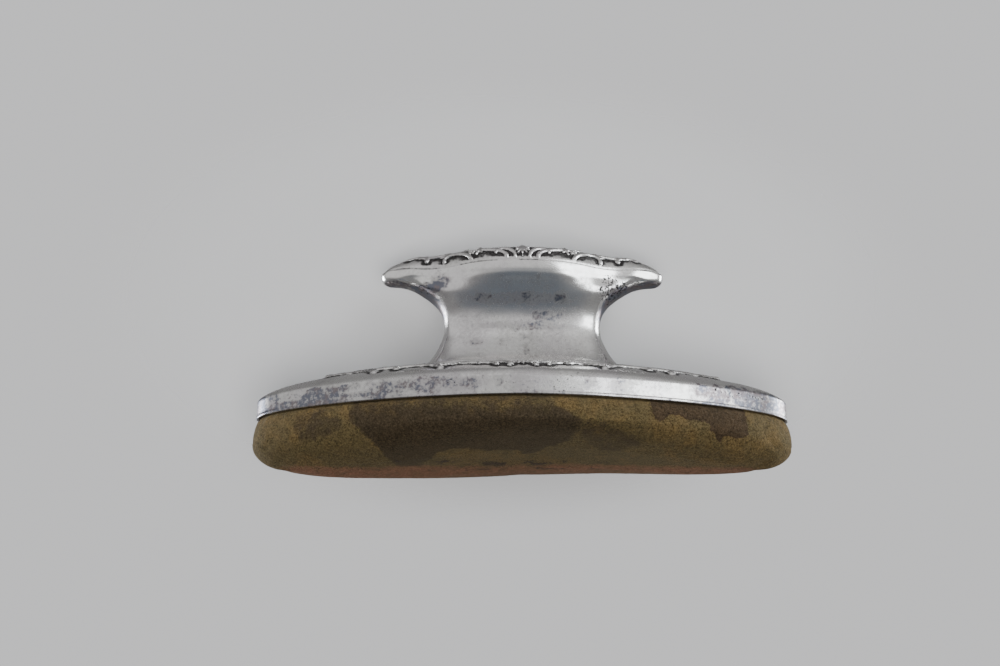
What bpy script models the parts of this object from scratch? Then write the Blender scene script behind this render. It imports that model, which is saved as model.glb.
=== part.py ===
"""Hand nail buffer: a stamped oval metal cover with a hollow two-horned handle,
push-fitted over a leather-covered pad built up on a wooden board.

Metres, +Z up, +X along the length. The origin is under the middle of the pad,
on the surface that the buffer stands on.
"""
import math

import bpy
import bmesh
from mathutils import Vector

MM = 0.001

# ---------------------------------------------------------------- dimensions
GAP = 0.3 * MM                 # clearance between pieces that touch

# cover: pointed oval in plan, its two ends blunted
# half width at u = x / half length:
#   W * ((1 - BLUNT) * (1 - |u|^PLAN_POWER)^PLAN_ROUND + BLUNT * (1 - |u|^30)^0.5)
COVER_HALF_LENGTH = 63.3 * MM
COVER_HALF_WIDTH = 21.7 * MM
PLAN_POWER = 1.6
PLAN_ROUND = 0.65
BLUNT = 0.07
BLUNT_POWER = 30.0
SHEET = 0.8 * MM               # metal thickness of cover, handle and cap
RIM_Z = 13.0 * MM              # lower edge of the cover above the table
WALL_HEIGHT = 4.2 * MM
CROWN_RISE = 6.5 * MM
CROWN_POWER = 3.8
CROWN_ROUND = 0.62

# handle
HANDLE_HALF_LENGTH = 34.2 * MM
HANDLE_HALF_WIDTH = 9.3 * MM
EDGE_HEIGHT = 37.4 * MM        # widest line of the handle above the rim
EDGE_DROOP = 0.8 * MM          # how far the horn tips sit below the middle
DOME_RISE = 7.5 * MM
DOME_POWER = 2.3
# stations up the handle, above the rim: height, half length, half width,
# half width of the end face
HANDLE_STATIONS = [(h * MM, x * MM, y * MM, s * MM) for h, x, y, s in (
    (10.9, 27.5, 12.5, 7.0),   # foot edge
    (11.7, 25.3, 10.9, 6.6),
    (13.3, 23.3, 9.2, 6.1),
    (15.5, 21.6, 7.8, 5.4),
    (18.2, 20.2, 6.5, 4.7),
    (21.0, 19.15, 5.55, 4.0),
    (24.0, 18.9, 5.2, 3.8),    # waist
    (27.0, 19.5, 5.7, 4.1),
    (29.6, 21.0, 6.6, 4.7),
    (31.5, 22.9, 7.35, 5.2),   # horns start to spread
    (33.1, 25.2, 7.95, 5.3),
    (34.5, 28.0, 8.45, 4.7),
    (35.7, 31.0, 8.85, 3.7),
    (36.5, 33.2, 9.1, 3.0),
    (37.2, 34.1, 9.3, 2.6),    # widest line
)]

# pad
PAD_BULGE = 1.9 * MM           # how far the pad stands out past the cover
BULGE_Z = 7.0 * MM             # height of its widest line
PAD_END_TUCK = 8.4 * MM        # how far the underside's ends are rounded in
PAD_POWER = 2.2                # roundness of the underside's cross-section
LEATHER = 1.1 * MM
BOARD_THICKNESS = 6.0 * MM
FELT_THICKNESS = 1.9 * MM
BOARD_INSET = SHEET + GAP + LEATHER + GAP + 0.05 * MM
FOLD_WIDTH = 6.3 * MM
BOARD_TOP = RIM_Z + 3.1 * MM
BOARD_BOTTOM = BOARD_TOP - BOARD_THICKNESS
FELT_TOP = BOARD_BOTTOM - GAP
FELT_BOTTOM = FELT_TOP - FELT_THICKNESS
FOLD_UNDER = BOARD_TOP + GAP
FOLD_TOP = FOLD_UNDER + LEATHER

# tacks that hold the folded leather to the board
TACK_COUNT = 14
TACK_INSET = 5.2 * MM
TACK_HEAD_RADIUS = 1.7 * MM
TACK_HEAD_HEIGHT = 0.9 * MM
TACK_SHANK_RADIUS = 0.5 * MM
TACK_SHANK_LENGTH = 4.2 * MM

LIFT_CLEAR = 20.0 * MM         # travel that frees the pad from the cover

UNDER_TURNS = (0.0, 20.0, 36.0, 51.0, 63.0, 72.0)   # rings under the pad

SEGMENTS = 40                  # points round each oval ring


# ------------------------------------------------------------------- helpers
def clear_scene():
    for obj in list(bpy.data.objects):
        bpy.data.objects.remove(obj, do_unlink=True)


def material(name, colour, roughness, metallic):
    mat = bpy.data.materials.new(name)
    mat.use_nodes = True
    shader = mat.node_tree.nodes["Principled BSDF"]
    shader.inputs["Base Color"].default_value = (*colour, 1.0)
    shader.inputs["Roughness"].default_value = roughness
    shader.inputs["Metallic"].default_value = metallic
    mat.diffuse_color = (*colour, 1.0)
    return mat


def link(name, bm, mat, parent):
    bmesh.ops.remove_doubles(bm, verts=bm.verts, dist=1e-6)
    bmesh.ops.recalc_face_normals(bm, faces=bm.faces)
    mesh = bpy.data.meshes.new(name)
    bm.to_mesh(mesh)
    bm.free()
    mesh.materials.append(mat)
    mesh.shade_smooth()
    mesh.set_sharp_from_angle(angle=math.radians(35.0))
    obj = bpy.data.objects.new(name, mesh)
    bpy.context.scene.collection.objects.link(obj)
    obj.parent = parent
    return obj


def plan_width(u):
    """Half width of the oval at u, as a share of its greatest half width."""
    u = min(1.0, abs(u))
    return ((1.0 - BLUNT) * (1.0 - u ** PLAN_POWER) ** PLAN_ROUND
            + BLUNT * (1.0 - u ** BLUNT_POWER) ** 0.5)


def plan_point(a, b, angle):
    """A point of the oval with half length a and half width b; the steps are
    closer together round its two ends."""
    angle -= 0.3 * math.sin(2.0 * angle)
    c, s = math.cos(angle), math.sin(angle)
    x = math.copysign(abs(c) ** (2.0 / PLAN_POWER), c)
    return a * x, math.copysign(b * plan_width(x), s)


def plan_ring(offset, z, scale=1.0, narrow=0.0, segments=SEGMENTS):
    """The cover's oval, offset outwards, and narrowed across if asked."""
    a = (COVER_HALF_LENGTH + offset) * scale
    b = (COVER_HALF_WIDTH + offset - narrow) * scale
    ring = []
    for i in range(segments):
        x, y = plan_point(a, b, 2.0 * math.pi * i / segments)
        ring.append(Vector((x, y, z)))
    return ring


def flatten(ring, z):
    for p in ring:
        p.z = z


def add_ring(bm, ring):
    return [bm.verts.new(p) for p in ring]


def bridge(bm, lower, upper):
    n = len(lower)
    for i in range(n):
        j = (i + 1) % n
        bm.faces.new((lower[i], lower[j], upper[j], upper[i]))


def close_to_point(bm, ring, point):
    tip = bm.verts.new(point)
    n = len(ring)
    for i in range(n):
        bm.faces.new((ring[i], ring[(i + 1) % n], tip))


def turned(rings, start=None, end=None):
    """A closed skin through a list of rings, with a point or a rim at its ends."""
    bm = bmesh.new()
    rows = [add_ring(bm, r) for r in rings]
    for lower, upper in zip(rows, rows[1:]):
        bridge(bm, lower, upper)
    if start is None:
        bridge(bm, rows[-1], rows[0])
    else:
        close_to_point(bm, rows[0], start)
        close_to_point(bm, rows[-1], end)
    return bm


def under_ring(turn, inset=0.0, lift=0.0):
    """Ring of the pad's rounded underside: turn 0 is its widest line and
    90 degrees the middle of the working face."""
    wide = math.cos(turn) ** (2.0 / PAD_POWER)
    deep = math.sin(turn) ** (2.0 / PAD_POWER)
    a_off = PAD_BULGE - inset - PAD_END_TUCK * (1.0 - wide)
    b_half = (COVER_HALF_WIDTH + PAD_BULGE - inset) * wide
    z = BULGE_Z - (BULGE_Z - lift) * deep
    return plan_ring(a_off, z, narrow=COVER_HALF_WIDTH + a_off - b_half)


def crown_height(scale, rise=CROWN_RISE):
    return rise * max(0.0, 1.0 - scale ** CROWN_POWER) ** CROWN_ROUND


# -------------------------------------------------------------------- handle
def smooth(table, h, column):
    """Catmull-Rom value of a column of the station table at height h."""
    n = len(table)
    i = 0
    while i < n - 2 and h > table[i + 1][0]:
        i += 1
    h0, h1 = table[i][0], table[i + 1][0]
    p1, p2 = table[i][column], table[i + 1][column]
    t = min(1.0, max(0.0, (h - h0) / (h1 - h0)))

    def slope(k):
        lo, hi = max(0, k - 1), min(n - 1, k + 1)
        return ((table[hi][column] - table[lo][column])
                / (table[hi][0] - table[lo][0]))

    m1, m2 = slope(i) * (h1 - h0), slope(i + 1) * (h1 - h0)
    return ((2 * t ** 3 - 3 * t ** 2 + 1) * p1 + (t ** 3 - 2 * t ** 2 + t) * m1
            + (-2 * t ** 3 + 3 * t ** 2) * p2 + (t ** 3 - t ** 2) * m2)


def section_point(x_half, y_half, y_end, angle):
    """A flat-ended lens: angle 0 is the +X end, 90 degrees the +Y side."""
    quarter = abs(math.sin(angle))
    # the first third of each quarter runs round the end face and its corner
    a = math.asin(min(1.0, quarter)) / (math.pi / 2)
    n_end, n_side = 14.0, 2.2
    if a < 0.36:
        turn = a / 0.36 * 0.88
        beta = turn * math.pi / 2
        u0, v0 = (math.cos(beta) ** (2 / n_end), math.sin(beta) ** (2 / n_side))
    else:
        beta = 0.88 * math.pi / 2
        u_start = math.cos(beta) ** (2 / n_end)
        u0 = u_start * (1.0 - (a - 0.36) / 0.64)
        v0 = (1.0 - u0 ** n_end) ** (1 / n_side)
    side = y_half - (y_half - y_end) * u0 ** 2.2
    x = math.copysign(x_half * u0, math.cos(angle))
    y = math.copysign(side * v0, math.sin(angle))
    return x, y


def droop(h, x):
    start = 24.0 * MM
    amount = max(0.0, min(1.0, (h - start) / (EDGE_HEIGHT - start)))
    amount = amount * amount * (3 - 2 * amount)
    return EDGE_DROOP * amount * (x / HANDLE_HALF_LENGTH) ** 2


def handle_point(h, angle, ring_scale=1.0):
    x_half = smooth(HANDLE_STATIONS, h, 1)
    y_half = smooth(HANDLE_STATIONS, h, 2)
    y_end = smooth(HANDLE_STATIONS, h, 3)
    x, y = section_point(x_half, y_half, y_end, angle)
    x *= ring_scale
    y *= ring_scale
    return Vector((x, y, RIM_Z + h - droop(h, x)))


def cover_height_at(x, y):
    """Height of the cover's outer face over a point of the plan."""
    lo, hi = 0.0, 1.0
    for _ in range(40):
        mid = (lo + hi) / 2
        u = min(1.0, abs(x) / (COVER_HALF_LENGTH * mid))
        w = COVER_HALF_WIDTH * mid * plan_width(u)
        if u < 1.0 and w >= abs(y):
            hi = mid
        else:
            lo = mid
    return RIM_Z + WALL_HEIGHT + crown_height(hi)


def handle_surface(row, angle):
    """Row 0 is the foot edge, which follows the cover's crown."""
    h = HANDLE_ROWS[row]
    p = handle_point(h, angle)
    if row == 0:
        p.z = cover_height_at(p.x, p.y) + SHEET + GAP
    elif row == 1:
        p.z = max(p.z, cover_height_at(p.x, p.y) + SHEET + GAP + 0.4 * MM)
    return p


HANDLE_ROWS = [st[0] for st in HANDLE_STATIONS]


def handle_normal(row, angle, direct):
    """Outward normal of the handle's side, by differences."""
    e = 0.02
    lo, hi = max(0, row - 1), min(len(HANDLE_ROWS) - 1, row + 1)
    along = direct(row, angle + e) - direct(row, angle - e)
    up = direct(hi, angle) - direct(lo, angle)
    return along.cross(up).normalized()


def handle_half(name, front, mat, parent):
    """One stamped half of the handle, from the foot to the widest line."""
    steps = SEGMENTS // 2
    base = math.pi if front else 0.0
    shift = Vector((0.0, (-0.5 if front else 0.5) * GAP, 0.0))
    bm = bmesh.new()
    outer, inner = [], []
    for row in range(len(HANDLE_ROWS)):
        o_row, i_row = [], []
        for i in range(steps + 1):
            angle = base + math.pi * i / steps
            p = handle_surface(row, angle)
            n = handle_normal(row, angle, handle_surface)
            if i in (0, steps):
                p.y = 0.0
                n.y = 0.0
                n.normalize()
            if row == len(HANDLE_ROWS) - 1:
                n.z = 0.0
                n.normalize()
                p.z -= GAP / 2
            q = p - n * SHEET
            if row == 0:
                q = Vector((p.x, p.y, p.z)) + Vector((0, 0, -SHEET))
                q.z = max(q.z, cover_height_at(q.x, q.y) + GAP)
            else:
                q.z = max(q.z, cover_height_at(q.x, q.y) + GAP)
            o_row.append(bm.verts.new(p + shift))
            i_row.append(bm.verts.new(q + shift))
        outer.append(o_row)
        inner.append(i_row)
    rows = len(outer)
    for r in range(rows - 1):
        for i in range(steps):
            bm.faces.new((outer[r][i], outer[r][i + 1],
                          outer[r + 1][i + 1], outer[r + 1][i]))
            bm.faces.new((inner[r][i], inner[r + 1][i],
                          inner[r + 1][i + 1], inner[r][i + 1]))
        for i in (0, steps):
            bm.faces.new((outer[r][i], outer[r + 1][i],
                          inner[r + 1][i], inner[r][i]))
    for i in range(steps):
        for r in (0, rows - 1):
            bm.faces.new((outer[r][i], outer[r][i + 1],
                          inner[r][i + 1], inner[r][i]))
    return link(name, bm, mat, parent)


def cap_ring(scale, inset, drop, lift):
    top = HANDLE_ROWS[-1]
    ring = []
    for i in range(SEGMENTS):
        angle = 2.0 * math.pi * i / SEGMENTS
        p = handle_point(top, angle)
        x_k = (HANDLE_HALF_LENGTH - inset) / HANDLE_HALF_LENGTH
        y_k = (HANDLE_HALF_WIDTH - inset) / HANDLE_HALF_WIDTH
        if inset > 0.0:
            # keep the sheet's thickness round the blunt horn tips
            q = handle_point(top, angle + 0.02) - handle_point(top, angle - 0.02)
            n = Vector((q.y, -q.x, 0.0)).normalized()
            p = p - n * inset
        x, y = p.x * scale, p.y * scale
        rise = (DOME_RISE - drop) * max(0.0, 1 - scale ** DOME_POWER) ** 0.5
        z = RIM_Z + top - droop(top, x) + rise + lift
        ring.append(Vector((x, y, z)))
    return ring


# --------------------------------------------------------------------- build
def build_cover(mat, parent):
    scales = (0.992, 0.965, 0.925, 0.86, 0.76, 0.6, 0.35)
    wall_top = RIM_Z + WALL_HEIGHT
    rings = [plan_ring(0.0, wall_top + crown_height(s), s) for s in reversed(scales)]
    rings.append(plan_ring(0.0, wall_top))
    rings.append(plan_ring(0.0, RIM_Z))
    rings.append(plan_ring(-SHEET, RIM_Z))
    rings.append(plan_ring(-SHEET, wall_top))
    for s in scales:
        rings.append(plan_ring(-SHEET, wall_top
                               + crown_height(s, CROWN_RISE - SHEET), s))
    bm = turned(rings,
                start=Vector((0, 0, wall_top + CROWN_RISE)),
                end=Vector((0, 0, wall_top + CROWN_RISE - SHEET)))
    return link("cover_shell", bm, mat, parent)


def build_cap(mat, parent):
    scales = (0.985, 0.94, 0.86, 0.74, 0.55, 0.3)
    lift = GAP / 2
    rings = [cap_ring(s, 0.0, 0.0, lift) for s in reversed(scales)]
    rings.append(cap_ring(1.0, 0.0, 0.0, lift))
    rings.append(cap_ring(1.0, SHEET, 0.0, lift))
    for s in scales:
        rings.append(cap_ring(s, SHEET, SHEET, lift))
    top = RIM_Z + HANDLE_ROWS[-1] + DOME_RISE + lift
    bm = turned(rings, start=Vector((0, 0, top)), end=Vector((0, 0, top - SHEET)))
    return link("handle_cap", bm, mat, parent)


def tack_positions():
    """Even steps along the inset oval."""
    fine = [plan_point(COVER_HALF_LENGTH - TACK_INSET - 1.2 * MM,
                       COVER_HALF_WIDTH - TACK_INSET,
                       2 * math.pi * i / 720) for i in range(720)]
    lengths = [0.0]
    for p, q in zip(fine, fine[1:] + fine[:1]):
        lengths.append(lengths[-1] + math.dist(p, q))
    total = lengths[-1]
    points = []
    for k in range(TACK_COUNT):
        want = total * k / TACK_COUNT
        i = max(j for j in range(720) if lengths[j] <= want + 1e-12)
        points.append(fine[i])
    return points


def cylinder_rings(x, y, radii_heights, sides=8):
    rings = []
    for radius, z in radii_heights:
        rings.append([Vector((x + radius * math.cos(2 * math.pi * i / sides),
                              y + radius * math.sin(2 * math.pi * i / sides), z))
                      for i in range(sides)])
    return rings


def build_tack(name, x, y, mat, parent):
    under = FOLD_TOP + GAP
    tip = under - TACK_SHANK_LENGTH
    profile = [(TACK_HEAD_RADIUS * 0.62, under + TACK_HEAD_HEIGHT * 0.82),
               (TACK_HEAD_RADIUS, under + TACK_HEAD_HEIGHT * 0.3),
               (TACK_HEAD_RADIUS, under),
               (TACK_SHANK_RADIUS, under),
               (TACK_SHANK_RADIUS, tip + 1.0 * MM)]
    bm = turned(cylinder_rings(x, y, profile),
                start=Vector((x, y, under + TACK_HEAD_HEIGHT)),
                end=Vector((x, y, tip)))
    return link(name, bm, mat, parent)


def build_hole_cutter(points, parent):
    """One cutter for the tack holes in the leather and in the board."""
    bm = bmesh.new()
    low = FOLD_TOP + GAP - TACK_SHANK_LENGTH - GAP
    high = FOLD_TOP + 2 * MM
    for x, y in points:
        rings = cylinder_rings(x, y, [(TACK_SHANK_RADIUS + GAP, high),
                                      (TACK_SHANK_RADIUS + GAP, low)])
        rows = [add_ring(bm, r) for r in rings]
        bridge(bm, rows[0], rows[1])
        bm.faces.new(list(reversed(rows[0])))
        bm.faces.new(rows[1])
    bmesh.ops.recalc_face_normals(bm, faces=bm.faces)
    mesh = bpy.data.meshes.new("tack_holes")
    bm.to_mesh(mesh)
    bm.free()
    cutter = bpy.data.objects.new("tack_holes", mesh)
    bpy.context.scene.collection.objects.link(cutter)
    cutter.hide_render = True
    cutter.display_type = "WIRE"
    cutter.parent = parent
    return cutter


def drill(obj, cutter):
    mod = obj.modifiers.new("tack_holes", "BOOLEAN")
    mod.operation = "DIFFERENCE"
    mod.solver = "EXACT"
    mod.object = cutter


def build_board(mat, parent, cutter):
    soft = 0.5 * MM
    rings = [plan_ring(-BOARD_INSET - soft, BOARD_TOP),
             plan_ring(-BOARD_INSET, BOARD_TOP - soft),
             plan_ring(-BOARD_INSET, BOARD_BOTTOM + soft),
             plan_ring(-BOARD_INSET - soft, BOARD_BOTTOM)]
    bm = bmesh.new()
    rows = [add_ring(bm, r) for r in rings]
    for lower, upper in zip(rows, rows[1:]):
        bridge(bm, lower, upper)
    bm.faces.new(list(reversed(rows[0])))
    bm.faces.new(rows[-1])
    obj = link("core_board", bm, mat, parent)
    drill(obj, cutter)
    return obj


def build_felt(mat, parent):
    bm = bmesh.new()
    top = add_ring(bm, plan_ring(-BOARD_INSET, FELT_TOP))
    low = add_ring(bm, plan_ring(-BOARD_INSET, FELT_BOTTOM))
    bridge(bm, top, low)
    bm.faces.new(list(reversed(top)))
    bm.faces.new(low)
    return link("felt_underlay", bm, mat, parent)


def build_wool(mat, parent):
    top = FELT_BOTTOM - GAP
    in_skin = LEATHER + GAP
    rings = [plan_ring(-in_skin - 0.5 * MM, top),
             plan_ring(PAD_BULGE - in_skin - 0.1 * MM, BULGE_Z + 0.1 * MM)]
    rings += [under_ring(math.radians(t), in_skin, LEATHER + GAP)
              for t in UNDER_TURNS]
    flatten(rings[-1], LEATHER + GAP)
    bm = bmesh.new()
    rows = [add_ring(bm, r) for r in rings]
    for lower, upper in zip(rows, rows[1:]):
        bridge(bm, lower, upper)
    bm.faces.new(list(reversed(rows[0])))
    bm.faces.new(rows[-1])
    return link("wool_padding", bm, mat, parent)


def build_leather(mat, parent, cutter):
    """Drum of chamois: flat working face, bulging side, edge folded on the board."""
    side = SHEET + GAP           # clears the inside of the cover's wall
    fold = side + LEATHER + FOLD_WIDTH
    outer = [(-fold, FOLD_TOP),
             (-side - 0.9 * MM, FOLD_TOP),
             (-side, FOLD_TOP - 0.7 * MM),
             (-side, RIM_Z - 0.15 * MM),
             (0.1 * MM, RIM_Z - 0.65 * MM),
             (1.3 * MM, 10.6 * MM),
             (PAD_BULGE - 0.2 * MM, 8.6 * MM)]
    inner = [(-fold, FOLD_UNDER),
             (-side - LEATHER, FOLD_UNDER),
             (-side - LEATHER, RIM_Z - 0.6 * MM),
             (-0.9 * MM, RIM_Z - 1.7 * MM),
             (0.2 * MM, 10.2 * MM),
             (PAD_BULGE - 0.2 * MM - LEATHER, 8.4 * MM)]
    bm = bmesh.new()
    o_rings = [plan_ring(d, z) for d, z in outer]
    i_rings = [plan_ring(d, z) for d, z in inner]
    for t in UNDER_TURNS:
        o_rings.append(under_ring(math.radians(t)))
        i_rings.append(under_ring(math.radians(t), LEATHER, LEATHER))
    flatten(o_rings[-1], 0.0)
    flatten(i_rings[-1], LEATHER)
    o_rows = [add_ring(bm, r) for r in o_rings]
    i_rows = [add_ring(bm, r) for r in i_rings]
    for rows in (o_rows, i_rows):
        for lower, upper in zip(rows, rows[1:]):
            bridge(bm, lower, upper)
        bm.faces.new(rows[-1])
    bridge(bm, o_rows[0], i_rows[0])
    obj = link("chamois_cover", bm, mat, parent)
    drill(obj, cutter)
    return obj


def main():
    clear_scene()
    silver = material("silver", (0.78, 0.76, 0.72), 0.24, 1.0)
    silver_cap = material("silver_cap", (0.74, 0.72, 0.68), 0.28, 1.0)
    leather = material("chamois", (0.17, 0.12, 0.055), 0.92, 0.0)
    wood = material("board_wood", (0.50, 0.34, 0.19), 0.7, 0.0)
    felt = material("felt", (0.42, 0.38, 0.32), 0.95, 0.0)
    wool = material("wool", (0.80, 0.75, 0.64), 0.95, 0.0)
    steel = material("tack_metal", (0.45, 0.38, 0.26), 0.4, 1.0)

    pad = bpy.data.objects.new("pad_unit", None)
    mount = bpy.data.objects.new("silver_mount", None)
    for empty in (pad, mount):
        bpy.context.scene.collection.objects.link(empty)
    mount.parent = pad           # lifts straight up along +Z, origin on that axis

    build_cover(silver, mount)
    handle_half("handle_front", True, silver, mount)
    handle_half("handle_back", False, silver, mount)
    build_cap(silver_cap, mount)

    points = tack_positions()
    cutter = build_hole_cutter(points, pad)
    build_board(wood, pad, cutter)
    build_felt(felt, pad)
    build_wool(wool, pad)
    build_leather(leather, pad, cutter)
    for k, (x, y) in enumerate(points):
        build_tack("tack_%02d" % (k + 1), x, y, steel, pad)


main()
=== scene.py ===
import math

import bpy
import numpy as np
from mathutils import Matrix, Vector


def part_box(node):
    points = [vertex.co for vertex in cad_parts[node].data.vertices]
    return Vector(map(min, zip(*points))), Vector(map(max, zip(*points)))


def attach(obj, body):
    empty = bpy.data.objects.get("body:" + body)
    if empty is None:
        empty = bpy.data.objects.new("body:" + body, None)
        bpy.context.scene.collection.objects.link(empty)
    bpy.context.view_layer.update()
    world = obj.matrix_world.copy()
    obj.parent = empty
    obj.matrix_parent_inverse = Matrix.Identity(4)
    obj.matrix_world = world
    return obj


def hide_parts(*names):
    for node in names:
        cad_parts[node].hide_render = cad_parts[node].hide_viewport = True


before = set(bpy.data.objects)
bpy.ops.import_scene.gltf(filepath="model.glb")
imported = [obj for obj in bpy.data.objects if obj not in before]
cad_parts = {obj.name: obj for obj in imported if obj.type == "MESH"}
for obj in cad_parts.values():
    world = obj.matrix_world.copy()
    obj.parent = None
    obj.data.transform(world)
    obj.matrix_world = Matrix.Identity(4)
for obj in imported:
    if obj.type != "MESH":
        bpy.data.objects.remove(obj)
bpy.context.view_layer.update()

MM = 0.001

# ---------------------------------------------------------------- dimensions
# the same rules and sizes as the CAD model, here for the finished surfaces
A, B = 63.3, 21.7                       # cover: half length, half width (mm)
PLAN_POWER, PLAN_ROUND, BLUNT, BLUNT_POWER = 1.6, 0.65, 0.07, 30.0
RIM_Z, WALL_H, CROWN, CROWN_POWER, CROWN_ROUND = 13.0, 4.2, 6.5, 3.8, 0.62
H_LEN, H_WID, EDGE_H, DROOP, DOME, DOME_POWER = 34.2, 9.3, 37.4, 0.8, 7.5, 2.3
STATIONS = np.array((
    (10.9, 27.5, 12.5, 7.0), (11.7, 25.3, 10.9, 6.6), (13.3, 23.3, 9.2, 6.1),
    (15.5, 21.6, 7.8, 5.4), (18.2, 20.2, 6.5, 4.7), (21.0, 19.15, 5.55, 4.0),
    (24.0, 18.9, 5.2, 3.8), (27.0, 19.5, 5.7, 4.1), (29.6, 21.0, 6.6, 4.7),
    (31.5, 22.9, 7.35, 5.2), (33.1, 25.2, 8.10, 5.3), (34.5, 28.0, 8.82, 4.7),
    (35.7, 31.4, 9.14, 3.7), (36.5, 33.5, 9.26, 3.1), (37.2, 34.1, 9.3, 2.7)))
BULGE, BULGE_Z, END_TUCK, PAD_POWER, LEATHER = 0.95, 7.0, 8.4, 2.0, 1.1
BOARD_TOP, BOARD_BOTTOM = 16.1, 10.1
FOLD_TOP = 17.5


# ------------------------------------------------------------------ numerics
def hash3(i, j, k, seed):
    n = (i * 374761393 + j * 668265263 + k * 2147483647 + seed * 1274126177)
    n = (n ^ (n >> 13)) * 1274126177
    n = n & 0x7FFFFFFF
    n = (n ^ (n >> 16)) * 2654435761
    return (n & 0xFFFFFF) / float(0xFFFFFF)


def noise(points, size, seed=1, octaves=3, gain=0.5):
    """Value noise from 0 to 1 over points in mm; size is the largest lump."""
    p = np.asarray(points, float)
    total = np.zeros(p.shape[:-1])
    weight, amount = 1.0, 0.0
    for o in range(octaves):
        q = p / size * (2 ** o) + 31.7 * (o + 1)
        base = np.floor(q).astype(np.int64)
        f = q - base
        f = f * f * (3 - 2 * f)
        v = np.zeros(p.shape[:-1])
        for dx in (0, 1):
            for dy in (0, 1):
                for dz in (0, 1):
                    w = ((f[..., 0] if dx else 1 - f[..., 0])
                         * (f[..., 1] if dy else 1 - f[..., 1])
                         * (f[..., 2] if dz else 1 - f[..., 2]))
                    v += w * hash3(base[..., 0] + dx, base[..., 1] + dy,
                                   base[..., 2] + dz, seed + o)
        total += weight * v
        amount += weight
        weight *= gain
    return total / amount


def step(a, b, x):
    t = np.clip((x - a) / (b - a), 0, 1)
    return t * t * (3 - 2 * t)


def plan_width(u):
    u = np.minimum(1.0, np.sqrt(u * u + 0.0012 * (1 - u * u) ** 2))
    return ((1 - BLUNT) * np.maximum(0, 1 - u ** PLAN_POWER) ** PLAN_ROUND
            + BLUNT * np.maximum(0, 1 - u ** BLUNT_POWER) ** 0.5)


def plan_ring(angles, a, b):
    t = angles - 0.3 * np.sin(2 * angles)
    c, s = np.cos(t), np.sin(t)
    x = np.sign(c) * np.abs(c) ** (2 / PLAN_POWER)
    return a * x, np.sign(s) * b * plan_width(x)


def cover_scale(x, y):
    """Which scaled copy of the cover's outline passes through x, y."""
    lo, hi = np.zeros(np.shape(x)), np.full(np.shape(x), 1.3)
    for _ in range(34):
        mid = (lo + hi) / 2
        u = np.abs(x) / (A * mid)
        inside = (u < 1) & (B * mid * plan_width(np.minimum(u, 1)) >= np.abs(y))
        hi = np.where(inside, mid, hi)
        lo = np.where(inside, lo, mid)
    return hi


def crown(scale, rise=CROWN):
    return rise * np.maximum(0, 1 - scale ** CROWN_POWER) ** CROWN_ROUND


def cover_height(x, y):
    return RIM_Z + WALL_H + crown(np.minimum(1, cover_scale(x, y)))


def station(h, column):
    """Catmull-Rom through a column of the station table."""
    h = np.asarray(h, float)
    n = len(STATIONS)
    hs, v = STATIONS[:, 0], STATIONS[:, column]
    i = np.clip(np.searchsorted(hs, h, side="right") - 1, 0, n - 2)
    m = np.empty(n)
    for k in range(n):
        lo, hi = max(0, k - 1), min(n - 1, k + 1)
        m[k] = (v[hi] - v[lo]) / (hs[hi] - hs[lo])
    d = hs[i + 1] - hs[i]
    t = np.clip((h - hs[i]) / d, 0, 1)
    return ((2 * t ** 3 - 3 * t ** 2 + 1) * v[i] + (t ** 3 - 2 * t ** 2 + t) * m[i] * d
            + (-2 * t ** 3 + 3 * t ** 2) * v[i + 1] + (t ** 3 - t ** 2) * m[i + 1] * d)


def section(xh, yh, ye, angle):
    s = np.abs(np.sin(angle))
    a = np.arcsin(np.minimum(1, s)) / (math.pi / 2)
    n_end, n_side = 14.0, 2.2
    beta = np.minimum(a / 0.36, 1) * 0.88 * math.pi / 2
    u_corner = np.cos(beta) ** (2 / n_end)
    v_corner = np.sin(beta) ** (2 / n_side)
    u_start = math.cos(0.88 * math.pi / 2) ** (2 / n_end)
    u_side = u_start * (1 - (a - 0.36) / 0.64)
    v_side = np.maximum(0, 1 - np.clip(u_side, 0, 1) ** n_end) ** (1 / n_side)
    u = np.where(a < 0.36, u_corner, u_side)
    v = np.where(a < 0.36, v_corner, v_side)
    side = yh - (yh - ye) * np.maximum(u, 0) ** 2.2
    return np.sign(np.cos(angle)) * xh * u, np.sign(np.sin(angle)) * side * v


def droop(h, x):
    k = np.clip((h - 24.0) / (EDGE_H - 24.0), 0, 1)
    return DROOP * k * k * (3 - 2 * k) * (x / H_LEN) ** 2


def handle_side(h, angle):
    x, y = section(station(h, 1), station(h, 2), station(h, 3), angle)
    return np.stack([x, y, RIM_Z + h - droop(h, x)], -1)


def normals(grid, closed):
    """Outward normals of a grid of points [row, step]; rows run upwards."""
    if closed:
        along = np.roll(grid, -1, 1) - np.roll(grid, 1, 1)
    else:
        along = np.gradient(grid, axis=1)
    up = np.gradient(grid, axis=0)
    n = np.cross(along, up)
    length = np.linalg.norm(n, axis=-1, keepdims=True)
    return n / np.maximum(length, 1e-12)


# -------------------------------------------------------------------- meshes
def build(name, points, quads, tips=(), attributes=None, body=None, mat=None,
          smooth_angle=40.0):
    """A mesh object from points in mm and faces."""
    mesh = bpy.data.meshes.new(name)
    mesh.from_pydata((np.asarray(points) * MM).tolist(), [], quads)
    mesh.validate()
    for key, values in (attributes or {}).items():
        layer = mesh.attributes.new(key, "FLOAT", "POINT")
        layer.data.foreach_set("value", np.asarray(values, np.float32).ravel())
    mesh.polygons.foreach_set("use_smooth", np.ones(len(mesh.polygons), bool))
    if smooth_angle:
        mesh.set_sharp_from_angle(angle=math.radians(smooth_angle))
    obj = bpy.data.objects.new(name, mesh)
    bpy.context.scene.collection.objects.link(obj)
    if mat:
        mesh.materials.append(mat)
    if body:
        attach(obj, body)
    return obj


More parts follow.
